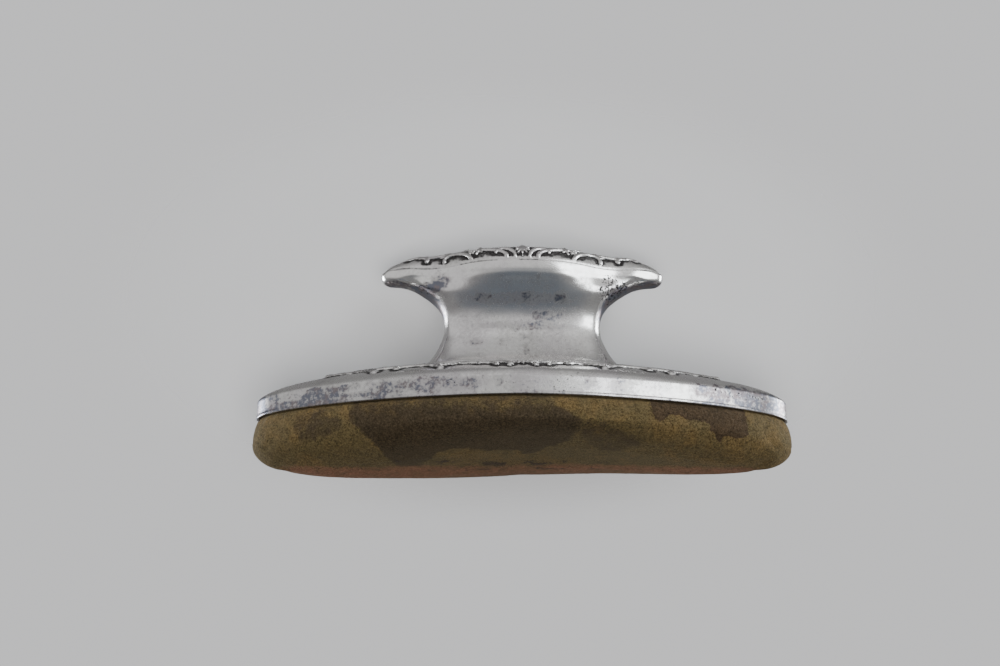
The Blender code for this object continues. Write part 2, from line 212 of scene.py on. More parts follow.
def ring_faces(rows, steps, closed=True, first=0):
    faces = []
    r = np.arange(rows - 1)[:, None]
    i = np.arange(steps if closed else steps - 1)[None, :]
    j = (i + 1) % steps
    a = first + r * steps + i
    b = first + r * steps + j
    c = first + (r + 1) * steps + j
    d = first + (r + 1) * steps + i
    faces = np.stack(np.broadcast_arrays(a, b, c, d), -1).reshape(-1, 4)
    return faces.tolist()


def closed_stack(name, grid, attributes, **kw):
    """Rings [row, step] joined up, each end closed to a point at its middle."""
    rows, steps = grid.shape[:2]
    pts = grid.reshape(-1, 3)
    faces = ring_faces(rows, steps)
    ends = []
    for row in (0, rows - 1):
        ends.append(grid[row].mean(0))
    pts = np.vstack([pts, ends])
    n = rows * steps
    for i in range(steps):
        j = (i + 1) % steps
        faces.append([n, j, i])
        k = (rows - 1) * steps
        faces.append([n + 1, k + i, k + j])
    attrs = {}
    for key, v in attributes.items():
        attrs[key] = np.concatenate([v.reshape(-1), [v[0].mean(), v[-1].mean()]])
    return build(name, pts, faces, attributes=attrs, **kw)


def tube_stack(name, grid, attributes, **kw):
    """Rings [row, step] joined up, the last ring back to the first."""
    rows, steps = grid.shape[:2]
    faces = ring_faces(rows, steps)
    i = np.arange(steps)
    j = (i + 1) % steps
    k = (rows - 1) * steps
    faces += np.stack([k + i, k + j, j, i], -1).tolist()
    attrs = {key: v.reshape(-1) for key, v in attributes.items()}
    return build(name, grid.reshape(-1, 3), faces, attributes=attrs, **kw)


def sheet_solid(name, outer, inner, attributes, **kw):
    """A closed shell from an outer and an inner open grid [row, step]."""
    rows, steps = outer.shape[:2]
    n = rows * steps
    faces = ring_faces(rows, steps, closed=False)
    back = np.array(ring_faces(rows, steps, closed=False, first=n))
    faces += back[:, ::-1].tolist()

    def idx(r, c):
        return r * steps + c

    for r in range(rows - 1):
        a, b = idx(r, 0), idx(r + 1, 0)
        faces.append([a, b, b + n, a + n])
        a, b = idx(r, steps - 1), idx(r + 1, steps - 1)
        faces.append([b, a, a + n, b + n])
    for c in range(steps - 1):
        a, b = idx(0, c), idx(0, c + 1)
        faces.append([b, a, a + n, b + n])
        a, b = idx(rows - 1, c), idx(rows - 1, c + 1)
        faces.append([a, b, b + n, a + n])
    pts = np.vstack([outer.reshape(-1, 3), inner.reshape(-1, 3)])
    attrs = {key: np.concatenate([v.reshape(-1)] * 2)
             for key, v in attributes.items()}
    return build(name, pts, faces, attributes=attrs, **kw)


# ------------------------------------------------------------------ ornament
def curl(kind, length, tight, start, points=110):
    """A scroll as points: 'C' bends one way, 'S' both, 'L' is a plain stroke."""
    t = np.linspace(-1, 1, points)
    if kind == "C":
        bend = 0.9 + tight * np.abs(t) ** 3.2
    elif kind == "S":
        bend = np.sign(t) * (0.5 * np.abs(t) + tight * np.abs(t) ** 3.4)
    else:
        bend = np.full(points, tight)
    angle = np.cumsum(bend) * (2 / points)
    angle -= angle[points // 2]
    dx, dy = np.cos(angle), np.sin(angle)
    x = np.cumsum(dx) * length / points
    y = np.cumsum(dy) * length / points
    x -= x[points // 2]
    y -= y[points // 2]
    c, s = math.cos(start), math.sin(start)
    return np.stack([x * c - y * s, x * s + y * c], -1), t


def silver_ring(a, b):
    """The outline as a walk: distance 0 at the middle of the front, then to +X."""
    angles = np.linspace(-math.pi / 2, 1.5 * math.pi, 4001)
    x, y = plan_ring(angles, a, b)
    return x, -y


class Relief:
    """Height of a chased border in plan, over one quarter of an oval; strokes
    are laid along a scaled copy of the outline. All in mm."""

    def __init__(self, outline, mean, pitch=0.07):
        x, y = outline
        self.pitch, self.mean = pitch, mean
        seg = np.hypot(np.diff(x), np.diff(y))
        run = np.concatenate([[0], np.cumsum(seg)])
        self.total = run[-1]
        self.quarter = self.total / 4
        self.run, self.px, self.py = run, x, y
        self.x = np.arange(-1.0, x.max() + 1, pitch)
        self.y = np.arange(-1.0, y.max() + 1, pitch)
        shape = (len(self.y), len(self.x))
        self.height = np.zeros(shape)
        self.near = np.full(shape, 9.0)

    def at(self, run):
        r = np.mod(run, self.total)
        return np.stack([np.interp(r, self.run, self.px),
                         np.interp(r, self.run, self.py)], -1)

    def lay(self, local, s, v, size):
        """local strokes (u along, w inwards) to plan, round the mean ring."""
        q = self.mean
        run0 = s / q
        e = 0.05
        tangent = self.at(run0 + e) - self.at(run0 - e)
        tangent /= np.linalg.norm(tangent)
        normal = np.array([-tangent[1], tangent[0]])
        here = self.at(run0)
        if normal @ here < 0:
            normal = -normal
        reach, slide = normal @ here, tangent @ here
        u, w = local[:, 0] * size, local[:, 1] * size + v
        ring = q - w / reach
        run = run0 + (u + w * slide / reach) / q
        return ring[:, None] * self.at(run)

    def stroke(self, pts, width, high):
        for sx, sy in ((1, 1), (-1, 1), (1, -1), (-1, -1)):
            q = pts * np.array([sx, sy])
            pad = float(np.max(width)) + 2.0
            x0, x1 = q[:, 0].min() - pad, q[:, 0].max() + pad
            y0, y1 = q[:, 1].min() - pad, q[:, 1].max() + pad
            i0, i1 = np.searchsorted(self.x, [x0, x1])
            j0, j1 = np.searchsorted(self.y, [y0, y1])
            if i1 - i0 < 2 or j1 - j0 < 2:
                continue
            X, Y = np.meshgrid(self.x[i0:i1], self.y[j0:j1])
            near = self.near[j0:j1, i0:i1]
            lift = self.height[j0:j1, i0:i1]
            for (qx, qy), w, h in zip(q, width, high):
                d = np.hypot(X - qx, Y - qy)
                np.minimum(near, d - w, out=near)
                k = np.clip(1 - (d / max(w, 1e-3)) ** 2, 0, 1) ** 0.6
                np.maximum(lift, h * k, out=lift)

    def scroll(self, kind, s, v, length, tight, start, size=1.0, width=0.60, high=0.58):
        pts, t = curl(kind, length, tight, start, 64)
        w = width * size * (0.5 + 0.5 * (1 - np.abs(t) ** 2)) + 0.08
        # a small knob where each end curls up
        w = np.where(np.abs(t) > 0.93, width * size * 1.1, w)
        self.stroke(self.lay(pts, s, v, size), w, high * (0.8 + 0.2 * (1 - np.abs(t))))

    def leaf(self, s, v, length, angle, bend=0.4, size=1.0, width=0.60, high=0.52,
             base=(0.0, 0.0)):
        t = np.linspace(0, 1, 22)
        a = angle + bend * (t - 0.3)
        x = np.cumsum(np.cos(a)) * length / 22 + base[0]
        y = np.cumsum(np.sin(a)) * length / 22 + base[1]
        w = width * size * np.sin(np.clip(t * 0.92 + 0.06, 0, 1) * math.pi) ** 0.7 + 0.05
        self.stroke(self.lay(np.stack([x, y], -1), s, v, size), w, high * (1 - 0.35 * t))

    def fan(self, s, v, count, spread, length, towards=-math.pi / 2, size=1.0,
            width=0.50, high=0.55):
        for k in range(count):
            f = 0 if count == 1 else 2 * k / (count - 1) - 1
            self.leaf(s, v, length * (1 - 0.28 * abs(f)), towards + f * spread,
                      0.5 * f, size, width, high)

    def flower(self, s, v, size=1.0):
        pts = [[0.9 * math.cos(2 * math.pi * k / 5 + 0.3),
                0.9 * math.sin(2 * math.pi * k / 5 + 0.3)] for k in range(5)]
        self.stroke(self.lay(np.array(pts), s, v, size), np.full(5, 0.56 * size),
                    np.full(5, 0.42))
        self.stroke(self.lay(np.zeros((1, 2)), s, v, size), np.array([0.4 * size]),
                    np.array([0.62]))

    def sample(self, x, y):
        """Height and distance to the nearest stroke at x, y (arrays, mm)."""
        u = np.clip((np.abs(x) - self.x[0]) / self.pitch, 0, len(self.x) - 1.001)
        v = np.clip((np.abs(y) - self.y[0]) / self.pitch, 0, len(self.y) - 1.001)
        i, j = u.astype(int), v.astype(int)
        fu, fv = u - i, v - j
        out = []
        for field in (self.height, self.near):
            a = field[j, i] * (1 - fu) + field[j, i + 1] * fu
            b = field[j + 1, i] * (1 - fu) + field[j + 1, i + 1] * fu
            out.append(a * (1 - fv) + b * fv)
        return out


def cover_relief():
    rel = Relief(silver_ring(A, B), 0.745)
    D = math.pi / 180
    k = rel.quarter * rel.mean / 49.0
    # middle of each side: a shell between two scrolls
    rel.fan(0, 2.0, 9, 66 * D, 4.2)
    rel.fan(0, 2.2, 5, 60 * D, 2.4, 90 * D)
    rel.scroll("C", 5.4 * k, 0.3, 10, 5.0, 196 * D)
    rel.leaf(3.2 * k, 2.2, 3.0, 30 * D)
    rel.scroll("S", 11.6 * k, 0.1, 13, 5.4, 12 * D, 1.0)
    rel.fan(14.4 * k, 1.2, 3, 34 * D, 3.2, -64 * D, 1.0)
    rel.leaf(9.0 * k, 1.6, 3.0, -20 * D, 0.6)
    rel.flower(17.6 * k, -0.2, 0.95)
    rel.leaf(18.6 * k, 1.0, 3.4, 24 * D, -0.7, 1.05)
    rel.scroll("C", 22.6 * k, 0.0, 12, 5.1, 188 * D, 1.1)
    rel.leaf(20.6 * k, -1.6, 2.4, -150 * D, 0.6, 1.0, 0.34)
    rel.leaf(25.6 * k, 0.8, 3.8, -34 * D, 0.8, 1.1)
    rel.leaf(25.8 * k, 1.6, 3.6, -4 * D, 0.6, 1.1)
    rel.scroll("S", 29.6 * k, 0.1, 13, 5.4, -14 * D, 1.2)
    rel.flower(34.2 * k, -0.4, 1.2)
    rel.fan(32.8 * k, 2.0, 3, 32 * D, 2.8, -118 * D, 1.2)
    rel.scroll("C", 38.0 * k, 0.0, 11, 5.1, 188 * D, 1.4)
    rel.leaf(36.6 * k, 2.6, 3.2, 12 * D, 0.5, 1.3)
    rel.leaf(40.6 * k, 0.8, 3.6, -24 * D, 0.8, 1.4)
    rel.leaf(40.8 * k, -0.4, 3.0, -54 * D, 0.8, 1.4)
    rel.scroll("S", 44.0 * k, -0.4, 9, 5.2, -8 * D, 1.5)
    rel.fan(49.0 * k, 3.6, 9, 62 * D, 5.0, -90 * D, 1.6)
    rel.fan(49.0 * k, 4.2, 5, 50 * D, 3.4, 90 * D, 1.5)
    return rel


def cap_relief(outline):
    rel = Relief(outline, 0.80, 0.05)
    D = math.pi / 180
    k = rel.quarter * rel.mean / 27.0
    rel.fan(0, 1.2, 7, 64 * D, 4.0, -90 * D, 0.66)
    rel.fan(0, 1.3, 3, 40 * D, 2.6, 90 * D, 0.6)
    rel.scroll("C", 3.4 * k, 0.1, 9, 5.0, 196 * D, 0.66)
    rel.scroll("S", 7.5 * k, 0.0, 12, 5.3, 10 * D, 0.68)
    rel.fan(9.4 * k, 0.8, 3, 34 * D, 3.2, -64 * D, 0.66)
    rel.flower(11.4 * k, -0.1, 0.62)
    rel.leaf(12.0 * k, 0.8, 3.4, 24 * D, -0.7, 0.7)
    rel.scroll("C", 14.4 * k, 0.0, 10.5, 5.1, 188 * D, 0.75)
    rel.leaf(16.2 * k, 0.5, 3.6, -30 * D, 0.8, 0.75)
    rel.leaf(16.3 * k, 1.0, 3.4, 0, 0.6, 0.75)
    rel.scroll("S", 19.0 * k, 0.1, 10.5, 5.3, -12 * D, 0.8)
    rel.leaf(21.6 * k, 0.4, 3.4, -20 * D, 0.8, 0.85)
    rel.scroll("C", 23.4 * k, 0.2, 8, 5.0, 188 * D, 0.85)
    rel.fan(27.0 * k, 2.2, 7, 52 * D, 4.6, -90 * D, 0.95)
    rel.fan(27.0 * k, 2.6, 3, 34 * D, 3.2, 90 * D, 0.9)
    return rel


def quarter_length(x, y):
    """Distance along a ring from the middle of its nearest long side."""
    p = np.stack([x, y], -1)
    seg = np.linalg.norm(np.roll(p, -1, 0) - p, axis=-1)
    run = np.concatenate([[0], np.cumsum(seg)])
    total = run[-1]
    q = total / 4
    s = run[:-1]
    # the ring starts at the +X end: fold it so that 0 is the middle of a side
    t = np.abs(((s + q) % (2 * q)) - q)       # distance from an end
    return q - t, q


# ----------------------------------------------------------------- materials
class Nodes:
    """Short way to write a node tree."""

    def __init__(self, tree):
        self.tree = tree

    def add(self, kind, **settings):
        node = self.tree.nodes.new(kind)
        for key, value in settings.items():
            setattr(node, key, value)
        return node

    def join(self, a, b):
        self.tree.links.new(a, b)

    def put(self, socket, value):
        if hasattr(value, "is_linked"):
            self.join(value, socket)
        elif isinstance(value, (tuple, list)) and len(value) == 3 \
                and socket.type == "RGBA":
            socket.default_value = (*value, 1.0)
        else:
            socket.default_value = value

    def maths(self, op, a, b=0.0, clamp=False):
        node = self.add("ShaderNodeMath", operation=op, use_clamp=clamp)
        self.put(node.inputs[0], a)
        self.put(node.inputs[1], b)
        return node.outputs[0]

    def mix(self, factor, a, b, blend="MIX"):
        node = self.add("ShaderNodeMix", data_type="RGBA", blend_type=blend)
        self.put(node.inputs[0], factor)
        self.put(node.inputs[6], a)
        self.put(node.inputs[7], b)
        return node.outputs[2]

    def ramp(self, value, low, high, a=0.0, b=1.0):
        node = self.add("ShaderNodeMapRange", interpolation_type="SMOOTHSTEP")
        self.put(node.inputs[0], value)
        for i, v in zip((1, 2, 3, 4), (low, high, a, b)):
            self.put(node.inputs[i], v)
        return node.outputs[0]

    def noise(self, vector, scale, detail=4.0, rough=0.55, distortion=0.0):
        node = self.add("ShaderNodeTexNoise", noise_dimensions="3D")
        self.join(vector, node.inputs["Vector"])
        node.inputs["Scale"].default_value = scale
        node.inputs["Detail"].default_value = detail
        node.inputs["Roughness"].default_value = rough
        node.inputs["Distortion"].default_value = distortion
        return node.outputs["Fac"]

    def attribute(self, name):
        node = self.add("ShaderNodeAttribute", attribute_name=name)
        return node.outputs["Fac"]

    def bump(self, height, distance, strength=1.0, normal=None):
        node = self.add("ShaderNodeBump")
        node.inputs["Strength"].default_value = strength
        node.inputs["Distance"].default_value = distance
        self.put(node.inputs["Height"], height)
        if normal is not None:
            self.join(normal, node.inputs["Normal"])
        return node.outputs["Normal"]


def new_material(name):
    mat = bpy.data.materials.new(name)
    mat.use_nodes = True
    tree = mat.node_tree
    shader = tree.nodes["Principled BSDF"]
    n = Nodes(tree)
    coord = n.add("ShaderNodeTexCoord")
    scale = n.add("ShaderNodeMapping")       # metres to millimetres
    scale.inputs["Scale"].default_value = (1000, 1000, 1000)
    n.join(coord.outputs["Object"], scale.inputs["Vector"])
    return mat, n, shader, scale.outputs["Vector"]


def stretched(n, vector, factors):
    node = n.add("ShaderNodeMapping")
    node.inputs["Scale"].default_value = factors
    n.join(vector, node.inputs["Vector"])
    return node.outputs["Vector"]


def silver_material(name, polish=0.17, inside=False):
    """Worn sterling: bright where hands rub it, grey film elsewhere, black in
    the recesses, hair scratches and small dark specks."""
    mat, n, shader, p = new_material(name)
    oxide = n.attribute("oxide")
    tarnish_and_painted_dark = n.attribute("tarnish_and_painted_dark")
    speck = n.attribute("speck")
    cloud = n.noise(p, 0.16, 5.0, 0.6, 0.4)
    fine = n.noise(p, 1.3, 5.0, 0.65)
    grit = n.noise(p, 4.5, 3.0, 0.6)
    # film: a thin warm grey tarnish, broken up by the noise
    film = n.ramp(n.maths("ADD", n.maths("MULTIPLY", cloud, 0.7),
                          n.maths("MULTIPLY", fine, 0.35)), 0.46, 0.66, 0.0, 0.6)
    film = n.maths("ADD", n.maths("MULTIPLY", film, 0.6), n.ramp(
        n.maths("ADD", tarnish_and_painted_dark, n.maths("MULTIPLY",
                n.maths("SUBTRACT", fine, 0.5), 0.6)), 0.18, 0.92), clamp=True)
    bright = (0.90, 0.888, 0.862)
    dull = (0.31, 0.292, 0.285)
    colour = n.mix(n.maths("MULTIPLY", film, 0.62), bright, dull)
    tint = n.ramp(n.noise(p, 0.09, 3.0, 0.5), 0.42, 0.62, 0.0, 0.16)
    colour = n.mix(tint, colour, (0.60, 0.52, 0.60))
    # heavy blue-black tarnish where the attribute is strong; where the attribute holds painted dark
    # reflection (far left end of the cover wall, flats under the horns) this is painted shade
    deep = n.ramp(n.maths("ADD", tarnish_and_painted_dark, n.maths("MULTIPLY",
                  n.maths("SUBTRACT", fine, 0.5), 1.7)), 0.74, 1.12)
    hue = n.ramp(n.noise(p, 0.42, 4.0, 0.6), 0.42, 0.60)
    heavy = n.mix(hue, (0.120, 0.132, 0.180), (0.185, 0.150, 0.160))
    colour = n.mix(n.maths("MULTIPLY", deep, 0.84), colour, heavy)
    black = n.ramp(n.maths("ADD", oxide, n.maths("MULTIPLY",
                   n.maths("SUBTRACT", fine, 0.5), 0.5)), 0.34, 0.70)
    pits = n.noise(p, 1.9, 2.0, 0.5)
    dots = n.ramp(n.maths("ADD", pits, n.maths("MULTIPLY",
                  n.maths("SUBTRACT", speck, 1.0), 0.30)), 0.575, 0.61)
    dark = n.maths("MAXIMUM", black, dots)
    colour = n.mix(n.maths("MULTIPLY", dark, 0.93), colour, (0.028, 0.024, 0.024))
    if inside:
        colour = n.mix(0.55, colour, (0.30, 0.27, 0.24))
    n.join(colour, shader.inputs["Base Color"])
    shader.inputs["Metallic"].default_value = 1.0
    rough = n.maths("ADD", polish, n.maths("MULTIPLY", film, 0.16))
    rough = n.maths("ADD", rough, n.maths("MULTIPLY", dark, 0.45))
    rough = n.maths("ADD", rough, n.maths("MULTIPLY",
                    n.maths("SUBTRACT", fine, 0.5), 0.08), clamp=True)
    if inside:
        rough = n.maths("ADD", rough, 0.15)
    n.join(rough, shader.inputs["Roughness"])
    # hair scratches along and across, hammer waviness, grain of the film
    hair1 = n.noise(stretched(n, p, (0.5, 9, 9)), 1.6, 2.0, 0.5)
    hair2 = n.noise(stretched(n, p, (7, 1.2, 2.4)), 1.5, 2.0, 0.5)
    height = n.maths("ADD", n.maths("MULTIPLY", hair1, 0.5),
                     n.maths("MULTIPLY", hair2, 0.35))
    height = n.maths("ADD", height, n.maths("MULTIPLY", grit, 0.5))
    height = n.maths("SUBTRACT", height, n.maths("MULTIPLY", dark, 0.8))
    n.join(n.bump(height, 0.000012, 0.6), shader.inputs["Normal"])
    return mat


def leather_material(name):
    """Napped chamois: olive tan, dark greasy middle, sharp-edged wet stains."""
    mat, n, shader, p = new_material(name)
    greasy = n.attribute("greasy")
    wet = n.attribute("wet")
    painted_red_bounce = n.attribute("painted_red_bounce")
    cloud = n.noise(p, 0.11, 5.0, 0.6, 0.6)
    mott = n.noise(p, 0.45, 6.0, 0.65, 0.3)
    grain = n.noise(p, 1.7, 3.0, 0.7)
    fibre = n.noise(p, 5.0, 3.0, 0.75)
    warm = (0.084, 0.057, 0.0225)
    olive = (0.063, 0.0475, 0.0210)
    base = n.mix(n.ramp(cloud, 0.38, 0.58), warm, olive)
    base = n.mix(n.ramp(mott, 0.42, 0.66, 0.0, 0.35), base, (0.052, 0.037, 0.018))
    dark = (0.0225, 0.0165, 0.0105)
    g = n.ramp(n.maths("ADD", greasy, n.maths("MULTIPLY",
               n.maths("SUBTRACT", mott, 0.5), 1.1)), 0.30, 0.85)
    colour = n.mix(n.maths("MULTIPLY", g, 0.88), base, dark)
    # reddish band along the working face: painted red bounce light
    w = n.ramp(n.maths("ADD", painted_red_bounce, n.maths("MULTIPLY",
               n.maths("SUBTRACT", mott, 0.5), 0.8)), 0.30, 0.95)
    colour = n.mix(n.maths("MULTIPLY", w, 0.84), colour, (0.150, 0.060, 0.038))
    # sharp stain with a darker tide line: wet is a distance in mm, inside > 0
    edge = n.maths("ADD", wet, n.maths("MULTIPLY",
                   n.maths("SUBTRACT", mott, 0.5), 2.6))
    edge = n.maths("ADD", edge, n.maths("MULTIPLY",
                   n.maths("SUBTRACT", grain, 0.5), 1.0))
    soaked = n.ramp(edge, -0.10, 0.16)
    line = n.maths("MULTIPLY", soaked, n.ramp(edge, 1.0, 0.1))
    colour = n.mix(n.maths("MULTIPLY", soaked, 0.86), colour, (0.028, 0.018, 0.011))
    colour = n.mix(n.maths("MULTIPLY", line, 0.38), colour, (0.016, 0.0095, 0.006))
    fleck = n.ramp(n.maths("ADD", n.attribute("fleck"), n.maths("MULTIPLY",
                   n.maths("SUBTRACT", grain, 0.5), 1.6)), 0.46, 0.60)
    colour = n.mix(n.maths("MULTIPLY", fleck, 0.94), colour, (0.014, 0.009, 0.010))
    nap = n.maths("MULTIPLY", n.maths("SUBTRACT", grain, 0.5), 2.5)
    nap = n.maths("ADD", nap, n.maths("MULTIPLY", n.maths("SUBTRACT", n.noise(
        p, 2.9, 2.0, 0.5), 0.5), 1.8))
    nap = n.maths("ADD", nap, n.maths("MULTIPLY", n.maths("SUBTRACT", mott, 0.5), 1.1))
    nap = n.maths("ADD", nap, n.maths("MULTIPLY",
                  n.maths("SUBTRACT", fibre, 0.5), 3.2))
    bright = n.maths("MAXIMUM", n.maths("ADD", 1.0, nap), 0.26)
    grey = n.add("ShaderNodeCombineColor")
    for i in range(3):
        n.join(bright, grey.inputs[i])
    n.join(n.mix(1.0, colour, grey.outputs[0], "MULTIPLY"), shader.inputs["Base Color"])
    shader.inputs["Roughness"].default_value = 0.93
    shader.inputs["Specular IOR Level"].default_value = 0.15
    shader.inputs["Sheen Weight"].default_value = 0.10
    shader.inputs["Sheen Roughness"].default_value = 0.55
    shader.inputs["Sheen Tint"].default_value = (0.75, 0.62, 0.42, 1.0)
    height = n.maths("ADD", n.maths("MULTIPLY", grain, 0.9),
                     n.maths("MULTIPLY", fibre, 0.5))
    height = n.maths("ADD", height, n.maths("MULTIPLY", mott, 0.8))
    n.join(n.bump(height, 0.00028, 0.9), shader.inputs["Normal"])
    return mat


def wood_material(name):
    mat, n, shader, p = new_material(name)
    along = stretched(n, p, (0.08, 1.0, 1.0))
    warp = n.noise(along, 0.35, 3.0, 0.5)
    wave = n.add("ShaderNodeTexWave", wave_type="BANDS", bands_direction="Y")
    wave.inputs["Scale"].default_value = 0.42
    wave.inputs["Distortion"].default_value = 6.0
    wave.inputs["Detail"].default_value = 3.0
    wave.inputs["Detail Scale"].default_value = 1.2
    n.join(along, wave.inputs["Vector"])
    pores = n.noise(stretched(n, p, (0.25, 4, 4)), 1.4, 3.0, 0.6)
    colour = n.mix(wave.outputs["Fac"], (0.43, 0.27, 0.135), (0.60, 0.42, 0.235))
    colour = n.mix(n.ramp(pores, 0.52, 0.72, 0, 0.55), colour, (0.23, 0.13, 0.065))
    colour = n.mix(n.ramp(warp, 0.4, 0.7, 0, 0.3), colour, (0.36, 0.24, 0.13))
    n.join(colour, shader.inputs["Base Color"])
    shader.inputs["Roughness"].default_value = 0.72
    shader.inputs["Specular IOR Level"].default_value = 0.3
    n.join(n.bump(pores, 0.00008, 0.7), shader.inputs["Normal"])
    return mat


def fibre_material(name, low, high, scale):
    mat, n, shader, p = new_material(name)
    a = n.noise(stretched(n, p, (1, 1, 2.5)), scale, 6.0, 0.75, 1.2)
    b = n.noise(p, scale * 4, 4.0, 0.7)
    colour = n.mix(n.ramp(a, 0.35, 0.65), low, high)
    colour = n.mix(n.ramp(b, 0.5, 0.8, 0, 0.4), colour, low)
    n.join(colour, shader.inputs["Base Color"])
    shader.inputs["Roughness"].default_value = 0.95
    shader.inputs["Specular IOR Level"].default_value = 0.1
    shader.inputs["Sheen Weight"].default_value = 0.3
    n.join(n.bump(n.maths("ADD", a, n.maths("MULTIPLY", b, 0.4)), 0.0004, 0.8),
           shader.inputs["Normal"])
    return mat


def tack_material(name):
    mat, n, shader, p = new_material(name)
    a = n.noise(p, 1.1, 4.0, 0.6)
    b = n.noise(p, 6.0, 4.0, 0.7)
    colour = n.mix(n.ramp(a, 0.4, 0.65), (0.42, 0.30, 0.14), (0.20, 0.13, 0.07))
    colour = n.mix(n.ramp(b, 0.55, 0.7, 0, 0.7), colour, (0.09, 0.06, 0.04))
    n.join(colour, shader.inputs["Base Color"])
    shader.inputs["Metallic"].default_value = 1.0
    n.join(n.ramp(a, 0.3, 0.7, 0.32, 0.6), shader.inputs["Roughness"])
    n.join(n.bump(b, 0.00003, 0.6), shader.inputs["Normal"])
    return mat


SILVER = silver_material("silver_worn")
SILVER_CAP = silver_material("silver_chased", 0.20)
LEATHER_MAT = leather_material("chamois_napped")
WOOD = wood_material("board_wood_raw")
FELT = fibre_material("felt_pressed", (0.26, 0.235, 0.20), (0.40, 0.36, 0.31), 1.2)
WOOL = fibre_material("wool_wadding", (0.55, 0.50, 0.41), (0.80, 0.75, 0.66), 0.8)
TACK = tack_material("tack_brassy")


# ------------------------------------------------------------- cover, finished
def blob(p, centre, size, warp=0.5, seed=3, lump=3.0):
    """Soft spot: 1 at the centre, 0 outside, its outline uneven."""
    c, s = np.array(centre, float), np.array(size, float)
    d = np.sqrt((((p - c) / s) ** 2).sum(-1))
    d = d + (noise(p, lump, seed, 3) - 0.5) * warp
    return step(1.15, 0.75, d)


def ring_spot(p, centre, size, thick, warp=0.4, seed=5, lump=2.5):
    c, s = np.array(centre, float), np.array(size, float)
    d = np.sqrt((((p - c) / s) ** 2).sum(-1))
    d = d + (noise(p, lump, seed, 3) - 0.5) * warp
    return np.exp(-((d - 1) / thick) ** 2)


